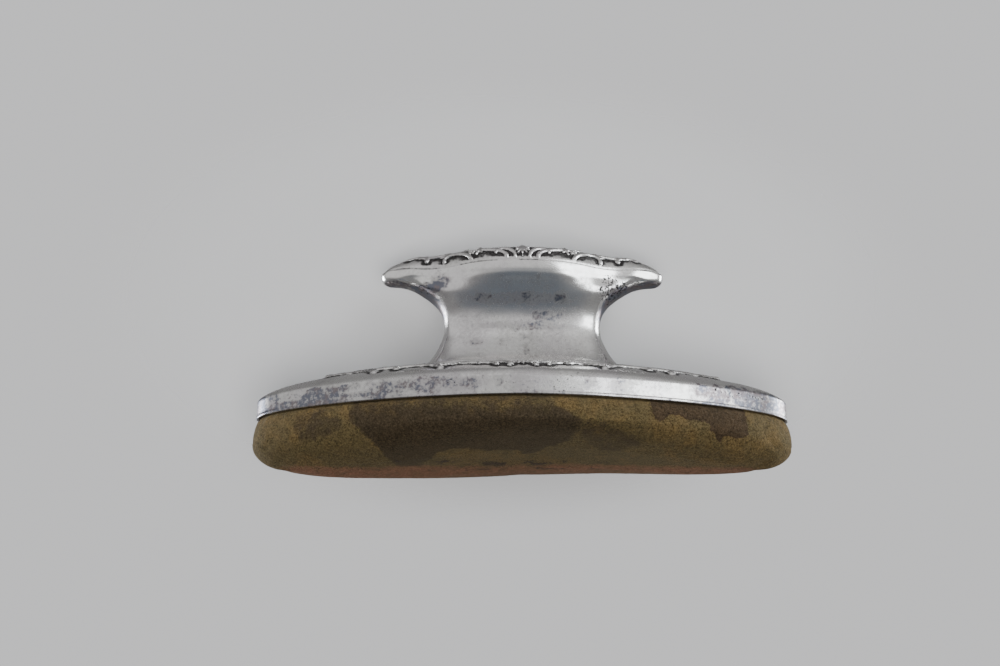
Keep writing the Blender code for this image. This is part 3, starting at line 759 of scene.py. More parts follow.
def build_cover():
    steps = 810
    n_rows = 94
    angles = np.linspace(0, 2 * math.pi, steps, endpoint=False)
    rows, tags, scales = [], [], []
    for q in [0.36, 0.42, 0.46] + list((1 - 0.5 * np.linspace(0, 1, n_rows) ** 1.3)[::-1]):
        x, y = plan_ring(angles, A * q, B * q)
        rows.append(np.stack([x, y, np.full(steps, RIM_Z + WALL_H + crown(q))], -1))
        tags.append(1)
        scales.append(q)
    # wall, with a narrow rolled lower edge
    for z in (16.7, 16.1, 15.4, 14.7, 14.2, 13.85, 13.62, 13.50, 13.40, 13.28, 13.12):
        flare = 0.14 * step(13.70, 13.48, z)
        x, y = plan_ring(angles, A + flare, B + flare)
        rows.append(np.stack([x, y, np.full(steps, z)], -1))
        tags.append(0)
        scales.append(1.0)
    for d, z in ((-0.10, 13.02), (0.02, 12.95), (0.24, 12.92), (0.46, 12.96), (0.58, 13.06),
                 (0.62, 13.2), (0.62, 15.0), (0.62, 17.0)):
        x, y = plan_ring(angles, A - d, B - d)
        rows.append(np.stack([x, y, np.full(steps, z)], -1))
        tags.append(-1)
        scales.append(1.0)
    for k in (0.985, 0.94, 0.87, 0.78, 0.66, 0.5, 0.3):
        x, y = plan_ring(angles, (A - 0.62) * k, (B - 0.62) * k)
        rows.append(np.stack([x, y, np.full(steps, 17.2 + crown(k, CROWN - 0.75))], -1))
        tags.append(-2)
        scales.append(1.0)
    grid = np.array(rows)[::-1]            # inside first, crown last
    tags = np.array(tags)[::-1]
    ring = np.array(scales)[::-1]
    outer = np.where(tags == 1)[0]
    dome, q = grid[outer], ring[outer][:, None]
    rel = cover_relief()
    high, near = rel.sample(dome[..., 0], dome[..., 1])
    n = normals(dome, True)
    wobble = (noise(dome, 9.0, 11, 2) - 0.5) * 0.12
    band = step(0.945, 0.895, q) * step(0.50, 0.56, q)
    high = high * band
    sunk = np.exp(-(np.maximum(near, 0) / 0.5) ** 2) * (near > 0) * band
    shift = high * 1.40 + wobble * step(0.97, 0.90, q) - 0.15 * sunk
    grid[outer] = dome + n * shift[..., None]
    oxide = np.zeros(grid.shape[:2])
    ox = np.exp(-(np.maximum(near - 0.14, 0) / 1.1) ** 2) * step(0.30, 0.05, high)
    ox = np.maximum(ox, 0.55 * step(2.4, 0.9, near) * step(0.26, 0.04, high))
    oxide[outer] = ox * band
    wall = (tags == 0) | ((tags == 1) & (ring > 0.985))
    wave = (noise(grid * np.array([1, 1, 0.3]), 11.0, 12, 2) - 0.5) * 0.10
    side = grid.copy()
    side[..., 2] = 0
    length = np.linalg.norm(side, axis=-1, keepdims=True)
    grid = grid + np.where(wall[:, None], wave, 0)[..., None] * side / np.maximum(length, 1)
    # tarnish: a film on the wall, with patches and rings, and a painted dark reflection at the far left
    # end
    p = grid
    t = 0.10 + 0.30 * noise(p, 14, 21, 4)
    front = step(-0.5, -3.0, p[..., 1])
    low = step(18.6, 17.0, p[..., 2])
    t += low * 0.37 + (1 - low) * 0.20
    t += low * front * 0.95 * blob(p, (-53.5, -9, 13.6), (8.5, 7, 1.25), 0.9, 31, 1.6)
    t += low * front * 0.55 * step(14.9, 13.6, p[..., 2] + 0.9 * (noise(p, 4.0, 30, 3) - 0.5)) \
        * step(-38, -47, p[..., 0])
    # painted dark reflection: the far left end of the lower wall is made dark in place of a window
    # highlight
    t += low * 1.1 * step(-60.2, -62.0, p[..., 0])
    t += low * front * 0.55 * ring_spot(p, (-48.4, -10.4, 15.3), (2.7, 5, 1.9), 0.16, 0.4, 33)
    t += low * front * 0.40 * blob(p, (-48.4, -10.4, 15.3), (2.6, 5, 1.8), 0.4, 34)
    t += low * front * 0.50 * ring_spot(p, (-22.3, -19.2, 16.2), (2.1, 3, 2.0), 0.16, 0.5, 35)
    t += low * front * 0.50 * blob(p, (-41.5, -13.4, 16.4), (1.9, 4, 0.9), 1.1, 36, 0.9)
    t += low * front * 0.55 * blob(p, (-31, -17, 16.4), (1.2, 4, 0.6), 0.9, 47, 1.0)
    t += low * front * 0.30 * blob(p, (-36, -16, 14.6), (8, 5, 0.6), 1.4, 37, 1.2)
    t += low * front * 0.34 * step(0.56, 0.66, noise(p, 2.2, 48, 3)) \
        * step(-10, -30, p[..., 0]) * step(-62, -50, p[..., 0])
    t += front * 0.95 * blob(p, (48.5, -11, 16.5), (9.5, 8, 1.9), 1.4, 38, 1.4)
    t += front * 0.85 * blob(p, (58, -6, 15.4), (5.5, 7, 2.8), 1.3, 39, 1.4)
    t -= low * front * 0.22 * blob(p, (33, -17, 15), (8, 6, 3), 0.4, 50, 3.0)
    t += low * 0.30 * step(0.58, 0.76, noise(p, 3.0, 41, 3))
    t += low * 0.20 * step(0.40, 0.70, noise(p * np.array([0.5, 0.5, 1.6]), 6.0, 45, 3))
    # streaky grey towards the right end
    t += low * front * 0.55 * step(36, 45, p[..., 0]) * step(
        0.42, 0.62, noise(p * np.array([0.6, 0.6, 1.5]), 1.6, 42, 3))
    # the limit is raised at the far left end so the painted dark reflection goes deeper
    t = np.minimum(t, 1.04 + 0.6 * step(-60.2, -62.0, p[..., 0]))
    t = np.where((tags < 0)[:, None], 0.75, t)
    speck = step(0.50, 0.70, noise(p, 9, 44, 3)) * 0.8
    speck = np.maximum(speck, low * front * 0.9 * blob(p, (50, -10, 16.6), (9, 8, 1.6), 1.2, 49, 2))
    return closed_stack("cover_finished", grid,
                        {"oxide": oxide, "tarnish_and_painted_dark": t, "speck": speck},
                        body="silver_mount", mat=SILVER, smooth_angle=50)


# ------------------------------------------------------------ handle, finished
def foot_lift(grid, h):
    """Lays the lowest rows of the handle on the cover."""
    x, y = grid[..., 0], grid[..., 1]
    base = cover_height(x, y)
    k = step(12.6, 10.9, h)[:, None]
    grid[..., 2] = np.maximum(grid[..., 2] * (1 - k) + (base - 0.02) * k, base + 0.02)
    return grid


def handle_rows():
    n = 96
    t = np.linspace(0, 1, n)
    lo, hi = STATIONS[0, 0], STATIONS[-1, 0]
    # closer together at the foot and near the widest line
    t = t - 0.10 * np.sin(2 * math.pi * t)
    return lo + (hi - lo) * t


def bow(grid):
    """The roll seen as it is: slimmer over the horns, ends turned up and blunt."""
    g = grid.copy()
    h = g[..., 2] - RIM_Z + droop(36.8, g[..., 0])
    u = np.abs(g[..., 0]) / 34.1
    k = step(30.0, 36.2, h)
    g[..., 1] *= 1 - 0.40 * k * np.exp(-((u - 0.66) / 0.26) ** 2)
    g[..., 2] += k * (0.45 * step(0.64, 0.90, u) - 0.22 * np.exp(-((u - 0.55) / 0.16) ** 2))
    g[..., 2] -= 1.15 * step(0.76, 0.96, u) * step(37.3, 36.1, h) * step(32.8, 34.9, h)
    return g


SEEN_DOME = 6.7


def build_handle():
    for name, start, seed in (("front", math.pi, 51), ("back", 0.0, 52)):
        steps = 300
        angle = start + np.linspace(0, math.pi, steps)
        h = handle_rows()
        grid = handle_side(h[:, None], angle[None, :])
        grid = foot_lift(grid, h)
        # the roll above the widest line, up to the edge of the cap
        top = grid[-1]
        extra = []
        for k in (0.9997, 0.9990, 0.9980, 0.9965):
            x, y = top[:, 0] * k, top[:, 1] * k
            rise = SEEN_DOME * max(0.0, 1 - k ** DOME_POWER) ** 0.5
            z = RIM_Z + STATIONS[-1, 0] - droop(STATIONS[-1, 0], x) + rise
            extra.append(np.stack([x, y, z], -1))
        grid = bow(np.concatenate([grid, np.array(extra)], 0))
        n = normals(grid, False)
        wave = (noise(grid, 7.0, 61, 2) - 0.5) * 0.16 \
            + (noise(grid * np.array([0.35, 1, 1]), 3.0, 62, 2) - 0.5) * 0.05
        fade = step(11.0, 14.0, grid[..., 2] - RIM_Z) * step(38.6, 36.4, grid[..., 2] - RIM_Z)
        edge = np.minimum(np.arange(steps), np.arange(steps)[::-1])[None, :]
        outer = grid + n * (wave * fade * step(0, 6, edge))[..., None]
        # the roll ends in a small knob at each tip, with a slight neck behind it
        hh = grid[..., 2] - RIM_Z + droop(36.8, grid[..., 0])
        tip = np.hypot(np.abs(grid[..., 0]) - 33.6, (hh - 36.9) * 0.9)
        knob = 0.42 * np.exp(-(tip / 1.7) ** 2)
        neck = 0.30 * np.exp(-((np.abs(grid[..., 0]) - 30.0) / 2.2) ** 2) \
            * np.exp(-((hh - 36.6) / 1.6) ** 2)
        crest = step(38.9, 38.2, grid[..., 2] - RIM_Z)
        outer = outer + n * ((knob - neck) * crest)[..., None]
        # the soldered seam: a hair of a dip where the halves meet
        outer = outer - n * (0.05 * np.exp(-(edge / 1.2) ** 2))[..., None]
        inner = outer - n * 0.6
        gap = -0.012 if name == "front" else 0.012
        for g in (outer, inner):
            g[..., 1] += gap
            g[:, 0, 1] = gap
            g[:, -1, 1] = gap
        inner[..., 2] = np.maximum(inner[..., 2],
                                   cover_height(inner[..., 0], inner[..., 1]) - 0.1)
        p = outer
        hz = p[..., 2] - RIM_Z + droop(36.8, p[..., 0])
        t = 0.16 + 0.36 * noise(p, 10, 71, 4)
        # rubbed bright along the roll, a grey film lower down
        t -= 0.34 * np.exp(-((hz - 36.2) / 1.9) ** 2)
        t += 0.16 * step(29.0, 25.0, hz) * step(17.0, 13.0, np.abs(p[..., 0]))
        # painted dark reflection: the flats under the horns are darkened
        reach = np.abs(p[..., 0]) / np.maximum(station(np.clip(hz, 10.9, 37.2), 1), 1)
        under = step(0.90, 0.985, reach) * step(23.0, 26.5, hz) * step(36.9, 35.6, hz)
        t += under * (0.95 + 0.7 * (noise(p, 5, 89, 3) - 0.5))
        if name == "front":
            t += 0.62 * blob(p, (-20.0, -7, 47.2), (3.4, 5, 2.6), 1.1, 72, 1.6)
            t += 0.75 * blob(p, (-25, -6, 45.2), (6.5, 5, 2.0), 1.0, 86, 1.6)
            t += 0.40 * blob(p, (6, -6, 38.0), (4.0, 4, 1.6), 1.3, 73, 1.2)
            t += 0.10 * blob(p, (-1, -8, 46.0), (12, 5, 2.4), 0.35, 74, 3.0)
            t += 0.42 * blob(p, (-1, -7, 42.0), (13, 5, 1.5), 0.9, 75, 1.4)
            t += 0.30 * blob(p, (2, -7, 35.6), (14, 5, 1.2), 1.0, 87, 1.6)
            t += 0.42 * blob(p, (25, -5, 44.8), (6.5, 5, 1.9), 1.0, 88, 1.6)
        t += 0.35 * step(0.60, 0.80, noise(p, 3.0, 76, 3))
        where = 0.0
        if name == "front":
            where = 1.15 * blob(p, (22.5, -5, 45.0), (4.5, 5, 5.0), 0.9, 78, 2.0)
            where = np.maximum(where, 0.8 * blob(p, (28, -3, 46.0), (4, 4, 3.0), 0.8, 79, 2.0))
            where = np.maximum(where, 0.7 * blob(p, (5, -5, 38.5), (3, 4, 1.4), 0.9, 80, 1.0))
            where = np.maximum(where, 0.9 * blob(p, (-26, -4, 45.2), (6, 4, 1.4), 0.9, 83, 1.5))
        speck = np.maximum(where, 0.6 * step(0.5, 0.72, noise(p, 7, 81, 3)))
        oxide = np.zeros(p.shape[:2])
        oxide += 0.8 * np.exp(-((p[..., 2] - cover_height(p[..., 0], p[..., 1]) - 0.3)
                                / 0.35) ** 2) * step(0.3, 0.6, noise(p, 4, 82, 2))
        sheet_solid("handle_%s_finished" % name, outer, inner,
                    {"oxide": oxide, "tarnish_and_painted_dark": t, "speck": speck},
                    body="silver_mount", mat=SILVER, smooth_angle=50)


def build_cap():
    steps = 700
    angles = np.linspace(0, 2 * math.pi, steps, endpoint=False)
    top = STATIONS[-1, 0]
    edge = handle_side(np.array([[top]]), angles[None, :])[0]
    n_rows = 112
    rows, scales = [], []
    for v in np.linspace(0, 1, n_rows):
        k = 0.9972 - 0.967 * v ** 1.2
        x, y = edge[:, 0] * k, edge[:, 1] * k
        rise = SEEN_DOME * max(0.0, 1 - k ** DOME_POWER) ** 0.5
        z = RIM_Z + top - droop(top, x) + rise
        rows.append(np.stack([x, y, z], -1))
        scales.append(k)
    dome, q = np.array(rows), np.array(scales)[:, None]
    walk = np.concatenate([edge, edge[:1]])
    first = int(np.argmax(edge[:, 1]))
    walk = np.roll(edge, -first, 0)[::-1]
    walk = np.concatenate([walk[-1:], walk])
    rel = cap_relief((walk[:, 0], walk[:, 1]))
    high, near = rel.sample(dome[..., 0], dome[..., 1])
    band = step(0.988, 0.960, q) * step(0.44, 0.50, q)
    high = high * band
    dome = bow(dome)
    n = normals(dome, True)
    wobble = (noise(dome, 6.0, 91, 2) - 0.5) * 0.08
    sunk = np.exp(-(np.maximum(near, 0) / 0.30) ** 2) * (near > 0) * band
    rim = np.exp(-((q - 0.992) / 0.0035) ** 2)
    shift = high * 0.85 + wobble * step(0.98, 0.9, q) - 0.12 * sunk - 0.10 * rim
    outer = dome + n * shift[..., None]
    rows = [dome[0] - n[0] * 0.35, dome[0] - n[0] * 0.9]
    inner = []
    for k in (0.93, 0.85, 0.7, 0.5, 0.25):
        x, y = edge[:, 0] * k, edge[:, 1] * k
        z = RIM_Z + top - droop(top, x) + (SEEN_DOME - 0.9) * (1 - k ** DOME_POWER) ** 0.5 - 0.25
        inner.append(bow(np.stack([x, y, z], -1)[None])[0])
    grid = np.concatenate([np.array(inner)[::-1], np.array(rows)[::-1], outer], 0)
    m = len(inner) + 2
    oxide = np.zeros(grid.shape[:2])
    ox = np.exp(-(np.maximum(near - 0.03, 0) / 0.42) ** 2) * step(0.22, 0.03, high)
    ox = np.maximum(ox, 0.66 * step(1.9, 0.6, near) * step(0.22, 0.03, high))
    oxide[m:] = ox * band
    oxide[m:] = np.maximum(oxide[m:], 0.8 * rim * step(0.35, 0.6, noise(dome, 5, 96, 2)))
    t = 0.32 + 0.44 * noise(grid, 9, 93, 4)
    t[:m] = 0.6
    speck = step(0.5, 0.65, noise(grid, 8, 95, 2)) * 0.7
    return closed_stack("handle_cap_finished", grid,
                        {"oxide": oxide, "tarnish_and_painted_dark": t, "speck": speck},
                        body="silver_mount", mat=SILVER_CAP, smooth_angle=60)


# --------------------------------------------------------------- pad, finished
LIFT_X = np.arange(-72.0, 72.1, 0.5)
LIFT = np.interp(LIFT_X, (-66, -58, -50, -43, -31, -20, -10, 0, 9, 19, 31, 40, 50, 57, 66),
                 (1.2, 0.6, 0.05, 0.05, 0.8, 1.6, 2.6, 3.7, 4.0, 3.7, 2.6, 1.7, 1.1, 1.1, 1.5))
KERNEL = np.exp(-(np.arange(-10, 11) / 5.0) ** 2)
LIFT = np.convolve(np.pad(LIFT, 10, mode="edge"), KERNEL / KERNEL.sum(), "valid")


def pad_lift(x):
    """How far the working face is hollowed by wear, along the length."""
    return np.interp(x, LIFT_X, LIFT)


def depth_in(x, y, outline):
    """Signed distance to a closed outline, positive inside."""
    best = np.full(np.shape(x), 1e9)
    inside = np.zeros(np.shape(x), bool)
    pts = list(outline)
    for (ax, ay), (bx, by) in zip(pts, pts[1:] + pts[:1]):
        ex, ey = bx - ax, by - ay
        t = np.clip(((x - ax) * ex + (y - ay) * ey) / (ex * ex + ey * ey), 0, 1)
        best = np.minimum(best, np.hypot(x - ax - t * ex, y - ay - t * ey))
        if ey != 0:
            cross = ((ay > y) != (by > y)) & (x < ax + (y - ay) / ey * ex)
            inside ^= cross
    return np.where(inside, best, -best)


# stains of the leather: along the length, and up its rounded front (mm)
DARK = ((-39.8, 21), (-40.2, 14.1), (-37.4, 11.1), (-34.2, 6.9), (-31.4, 3.7), (-28.6, 1.1),
        (-24, 1.9), (-19.3, 5.6), (-12.3, 6.8), (-5.3, 5.7), (1.6, 5.2), (7.4, 7.1),
        (12.1, 9), (13.3, 14.1), (9.1, 17.4), (5.1, 21))
CLOUD = ((8.6, 13.2), (13.3, 14.1), (18.8, 13.7), (24.4, 10.9), (28.6, 8.1), (27.2, 6.3),
         (22.6, 5.8), (17.9, 6.5), (12.1, 8.5))
WET = ((29.4, 21), (29.5, 15.5), (29.9, 14.2), (31, 13.3), (32.7, 13.3), (33.4, 14.3),
       (34.8, 15), (35.7, 14.7), (37.4, 13.6), (40, 13.3), (42.6, 13), (43.3, 12.3),
       (43.6, 11.2), (44.5, 10), (44.7, 8.9), (45.6, 8.4), (46.4, 9.2), (48.2, 9.2),
       (49.4, 8.8), (51.3, 9.3), (52.4, 10.2), (52.8, 11.3), (52.4, 13), (51.8, 15.5),
       (51.6, 21))
BROWN = ((-53.2, 14), (-46.9, 15.6), (-43.1, 14.4), (-41.4, 11.8), (-42.2, 9.9),
         (-44.8, 9.2), (-47.3, 8.8), (-47.7, 7.6), (-50.3, 7.4), (-52.4, 8.3), (-53.8, 11.1))


def settle(skin, cap=0.40, scale=20.0):
    """Cloth pass: the skin held at the seam, the wadding pressing outwards.
    Returns how far each point of the grid moves, in mm."""
    rows, steps = skin.shape[:2]
    r_pick = np.unique(np.linspace(0, rows - 1, 26).astype(int))
    c_pick = np.arange(0, steps, max(1, steps // 152))
    cage = skin[r_pick][:, c_pick]
    nr, nc = cage.shape[:2]
    mesh = bpy.data.meshes.new("settling")
    faces = ring_faces(nr, nc)
    for i in range(nc // 2):
        f = [i, i + 1, nc - i - 1, (nc - i) % nc]
        f = [q for k, q in enumerate(f) if q not in f[:k]]
        if len(f) > 2:
            faces.append(f[::-1])
    mesh.from_pydata((cage.reshape(-1, 3) * MM * scale).tolist(), [], faces)
    obj = bpy.data.objects.new("settling", mesh)
    scene = bpy.context.scene
    scene.collection.objects.link(obj)
    group = obj.vertex_groups.new(name="held")
    ids = np.arange(nr * nc).reshape(nr, nc)
    group.add(ids[-2:].ravel().tolist(), 1.0, "REPLACE")
    group.add(ids[:3].ravel().tolist(), 0.35, "REPLACE")
    cloth = obj.modifiers.new("Cloth", "CLOTH")
    st = cloth.settings
    st.quality = 8
    st.mass = 0.25
    st.tension_stiffness = st.compression_stiffness = 24
    st.shear_stiffness = 10
    st.bending_stiffness = 0.8
    st.vertex_group_mass = "held"
    st.shrink_min = -0.012
    st.use_pressure = True
    st.uniform_pressure_force = 4.0
    st.effector_weights.gravity = 0
    cloth.point_cache.frame_start, cloth.point_cache.frame_end = 1, 20
    for number in range(1, 21):
        scene.frame_set(number)
    done = obj.evaluated_get(bpy.context.evaluated_depsgraph_get())
    flat = np.empty(nr * nc * 3)
    done.data.vertices.foreach_get("co", flat)
    scene.frame_set(1)
    bpy.data.objects.remove(obj, do_unlink=True)
    bpy.data.meshes.remove(mesh)
    move = flat.reshape(nr, nc, 3) / (MM * scale) - cage
    size = np.linalg.norm(move, axis=-1, keepdims=True)
    print("settled: mean %.3f mm, most %.3f mm" % (size.mean(), size.max()))
    move = move * np.minimum(1, cap / np.maximum(size, 1e-9))
    for _ in range(2):                     # no kinks between the cage's points
        move = (np.roll(move, 1, 1) + 2 * move + np.roll(move, -1, 1)) / 4
        move[1:-1] = (move[:-2] + 2 * move[1:-1] + move[2:]) / 4
    move[:3] *= np.array([0.0, 0.3, 0.7])[:, None, None]
    # back to the full grid, between the picked rows and steps
    fr = np.interp(np.arange(rows), r_pick, np.arange(nr))
    fc = np.interp(np.arange(steps), np.append(c_pick, steps), np.arange(nc + 1))
    i, j = np.minimum(fr.astype(int), nr - 2), fc.astype(int) % nc
    u, v = (fr - i)[:, None, None], (fc - fc.astype(int))[None, :, None]
    k = (j + 1) % nc
    return (move[i][:, j] * (1 - u) * (1 - v) + move[i + 1][:, j] * u * (1 - v)
            + move[i][:, k] * (1 - u) * v + move[i + 1][:, k] * u * v)


def build_leather():
    steps = 760
    angles = np.linspace(0, 2 * math.pi, steps, endpoint=False)
    turns = np.radians(np.concatenate([np.linspace(0, 70, 84),
                                       np.linspace(71.5, 88, 9)]))
    rows = []
    side = 1.12
    fold = side + LEATHER + 6.3
    # fold on the board, its cut edge, then up over the corner and down the side
    path = [(-fold + 0.2, 16.42), (-fold, 16.7), (-fold + 0.05, 17.15),
            (-fold + 0.45, 17.46), (-fold + 1.6, 17.50), (-fold + 3.2, 17.50),
            (-side - 2.2, 17.49), (-side - 1.2, 17.46), (-side - 0.55, 17.28),
            (-side - 0.12, 16.9), (-side, 16.3), (-side, 15.0), (-side, 13.6),
            (-side, 13.1), (-side + 0.10, 12.90), (-0.72, 12.72), (-0.30, 12.45),
            (0.02, 12.05), (0.30, 11.5), (0.54, 10.8), (0.74, 9.9),
            (0.87, 9.0), (0.93, 8.2), (0.95, 7.6)]
    for d, z in path:
        x, y = plan_ring(angles, A + d, B + d)
        rows.append(np.stack([x, y, np.full(steps, z)], -1))
    first = len(rows)
    for t in turns:
        wide = math.cos(t) ** (2 / PAD_POWER)
        deep = math.sin(t) ** (2 / PAD_POWER)
        a_half = A + BULGE - END_TUCK * (1 - wide)
        b_half = (B + BULGE) * wide
        x, y = plan_ring(angles, a_half, b_half)
        lift = pad_lift(x)
        z = BULGE_Z - (BULGE_Z - lift) * deep
        rows.append(np.stack([x, y, z], -1))
    grid = np.array(rows)[::-1]            # working face first, fold last
    count = len(rows)
    under = count - first                  # rows of the bulging part
    n = normals(grid, True)
    level = np.arange(count)
    # looser towards the seam: small gathers, strongest round the two ends
    s, quarter = quarter_length(*plan_ring(angles, A, B))
    pleat_zone = np.exp(-((grid[..., 2] - 12.3) / 1.3) ** 2) * (level < count - 14)[:, None]
    ends = step(0.55, 0.98, s / quarter)[None, :]
    pleat = np.sin(s / quarter * 46 * math.pi + 3 * noise(grid, 8, 101, 1)) * 0.10
    lumps = (noise(grid, 16, 102, 2) - 0.5) * 0.55 + (noise(grid, 5, 103, 2) - 0.5) * 0.20 \
        + (noise(grid, 1.1, 107, 2) - 0.5) * 0.07
    free = (level < under + 8)[:, None] * step(0.0, 1.5, 13.0 - grid[..., 2]) \
        * step(-0.5, 1.0, grid[..., 2])
    shift = lumps * free * 0.55 + pleat * pleat_zone * (0.35 + 0.65 * ends) - 0.18 * free
    # the folded edge on the board: pleats where the leather is gathered
    fold_rows = (level >= count - 9)[:, None]
    gather = np.sin(s / quarter * 30 * math.pi) * (0.10 + 0.14 * ends) \
        + (noise(grid, 2.2, 104, 2) - 0.5) * 0.16
    grid = grid + n * shift[..., None]
    held = under + 9                   # rows from the working face to the seam
    grid[:held] += settle(grid[:held])
    grid[..., 2] += np.where(fold_rows, gather - 0.12, 0)
    grid[..., 2] = np.maximum(grid[..., 2], 0.02)
    # inner skin
    back = []
    for d, z in ((-fold + 0.4, 16.25), (-side - LEATHER, 16.25), (-side - LEATHER, 12.4),
                 (-1.4, 11.2), (-0.5, 9.6), (-0.2, 8.0)):
        x, y = plan_ring(angles, A + d, B + d)
        back.append(np.stack([x, y, np.full(steps, z)], -1))
    for t in np.radians([0, 20, 36, 51, 63, 72, 80]):
        wide, deep = math.cos(t) ** (2 / PAD_POWER), math.sin(t) ** (2 / PAD_POWER)
        x, y = plan_ring(angles, A + BULGE - LEATHER - END_TUCK * (1 - wide),
                         (B + BULGE - LEATHER) * wide)
        lift = pad_lift(x) + LEATHER
        back.append(np.stack([x, y, BULGE_Z - (BULGE_Z - lift) * deep], -1))
    grid = np.concatenate([grid, np.array(back)], 0)
    p = grid
    x, y, z = p[..., 0], p[..., 1], p[..., 2]
    # how far round the pad from the seam: 0 at the seam, 1 in the middle below
    lev = np.concatenate([np.linspace(1, 0, count), np.linspace(0, 1, len(back))])[:, None]
    front = step(2.0, -2.0, y)
    # painted on the rounded front: up is the height seen square to the front
    up = 0.94 * z - 0.342 * y
    mirror = 0.94 * z + 0.342 * y          # the same for the back of the pad
    back_side = step(10, 15, y)
    rag = (noise(p, 6.0, 118, 4) - 0.5)
    fine_rag = (noise(p, 1.8, 121, 3) - 0.5)

    def zone(outline, soft=1.0, rough=3.4, flip=1.0, v=None):
        v = up if v is None else v
        d = depth_in(x * flip, v, outline) + rag * rough + fine_rag * 1.2
        return step(-soft, soft, d)

    core = np.exp(-((x + 12) / 26) ** 4 - ((up - 9.5) / 5.5) ** 4)
    greasy = zone(DARK, 0.9, 3.0) * (0.74 + 0.30 * core)
    greasy *= 1 - 0.24 * step(15.0, 18.0, up + rag * 4)
    greasy = np.maximum(greasy, 0.62 * zone(CLOUD, 1.4, 3.6))
    greasy = np.maximum(greasy, 0.66 * zone(BROWN, 1.2, 2.2))
    greasy = np.maximum(greasy, 0.45 * np.exp(-np.hypot(x - 31.4, up - 8.6) / 1.6))
    greasy = np.maximum(greasy, 0.16 + 0.4 * rag)
    behind = 0.55 * zone([(-30, 21), (-34, 12), (-22, 5), (0, 4), (20, 6), (30, 12), (26, 21)],
                         2.2, 5.0, -1.0, mirror)
    greasy = greasy * (1 - back_side) + behind * back_side
    # sharp stain hanging from the rim on the right
    wet = depth_in(x, up, WET)
    wet = np.where(y < 1.0, wet, -9.0)
    # painted red bounce light along the working face, front and back, plus small random patches of the
    # same reddish tone
    painted_red_bounce = step(3.6, 0.6, up) * (1 - back_side) + step(3.2, 0.4, z - pad_lift(x)) * back_side
    painted_red_bounce = painted_red_bounce * (0.6 + 0.4 * noise(p, 9, 115, 2)) * step(64, 52, np.abs(x))
    painted_red_bounce = np.maximum(painted_red_bounce, 0.16 * step(0.5, 0.7, noise(p, 13, 120, 3)) * step(1.5, 4, up))
    # small dark flecks near the working face, painted square to the front
    flat = np.stack([x, up, np.zeros_like(x)], -1)
    band = np.exp(-((up - 2.3) / 1.0) ** 2) + 0.7 * np.exp(-((up - 0.6) / 0.6) ** 2)
    fleck = 0.75 * band * step(0.50, 0.62, noise(flat * np.array([0.6, 1.4, 1]), 1.9, 116, 3)) \
        * np.exp(-((x - 4) / 24) ** 4) * (1 - back_side)
    for cx, cu, sx, su in ((-6.6, 2.3, 1.9, 0.6), (2.0, 2.6, 1.5, 0.75), (7.0, 2.1, 1.1, 0.5),
                           (-18, 3.0, 2.6, 0.6), (-30, 3.3, 1.8, 0.5)):
        spot = np.exp(-((x - cx) / sx) ** 2 - ((up - cu) / su) ** 2)
        fleck = np.maximum(fleck, 0.95 * spot * (1 - back_side)
                           * step(0.36, 0.52, noise(flat, 1.1, 119, 3)))
    fleck += 0.30 * step(0.66, 0.80, noise(p, 2.0, 117, 2))
    pad = long_stack("chamois_finished", grid,
                     {"greasy": greasy, "wet": wet, "painted_red_bounce": painted_red_bounce, "fleck": fleck},
                     LEATHER_MAT)
    return pad


def long_stack(name, grid, attributes, mat):
    """Long narrow rings joined up, both ends closed by strips across."""
    rows, steps = grid.shape[:2]
    pts = grid.reshape(-1, 3)
    faces = ring_faces(rows, steps)

    def strip(row, flip):
        out = []
        base = row * steps
        half = steps // 2
        for i in range(half):
            a, b = base + i, base + i + 1
            c, d = base + (steps - i - 1), base + (steps - i) % steps
            f = [a, b, c, d]
            f = [q for k, q in enumerate(f) if q not in f[:k]]
            if len(f) > 2:
                out.append(f[::-1] if flip else f)
        return out
    faces += strip(0, True)
    faces += strip(rows - 1, False)
    attrs = {key: v.reshape(-1) for key, v in attributes.items()}
    return build(name, pts, faces, attributes=attrs, body="pad_unit",
                 mat=mat, smooth_angle=50)


def build_wool():
    """Wadding that fills the leather, hollowed like the rubbed working face."""
    steps = 220
    angles = np.linspace(0, 2 * math.pi, steps, endpoint=False)
    skin = LEATHER + 0.3
    rows = []
    for k in (0.3, 0.6, 0.85, 0.97, 1.0):
        x, y = plan_ring(angles, (A - skin - 0.5) * k, (B - skin - 0.5) * k)
        rows.append(np.stack([x, y, np.full(steps, 7.55 - 0.25 * (k == 1.0))], -1))
    for t in np.radians(np.linspace(0, 78, 16)):
        wide, deep = math.cos(t) ** (2 / PAD_POWER), math.sin(t) ** (2 / PAD_POWER)
        x, y = plan_ring(angles, A + BULGE - skin - END_TUCK * (1 - wide),
                         (B + BULGE - skin) * wide)
        lift = pad_lift(x) + skin
        top = 6.9
        rows.append(np.stack([x, y, top - (top - lift) * deep], -1))
    grid = np.array(rows)[::-1]
    n = normals(grid, True)
    grid = grid + n * ((noise(grid, 2.2, 131, 3) - 0.5) * 0.5 - 0.25)[..., None]
    wool = long_stack("wool_finished", grid, {}, WOOL)
    return wool


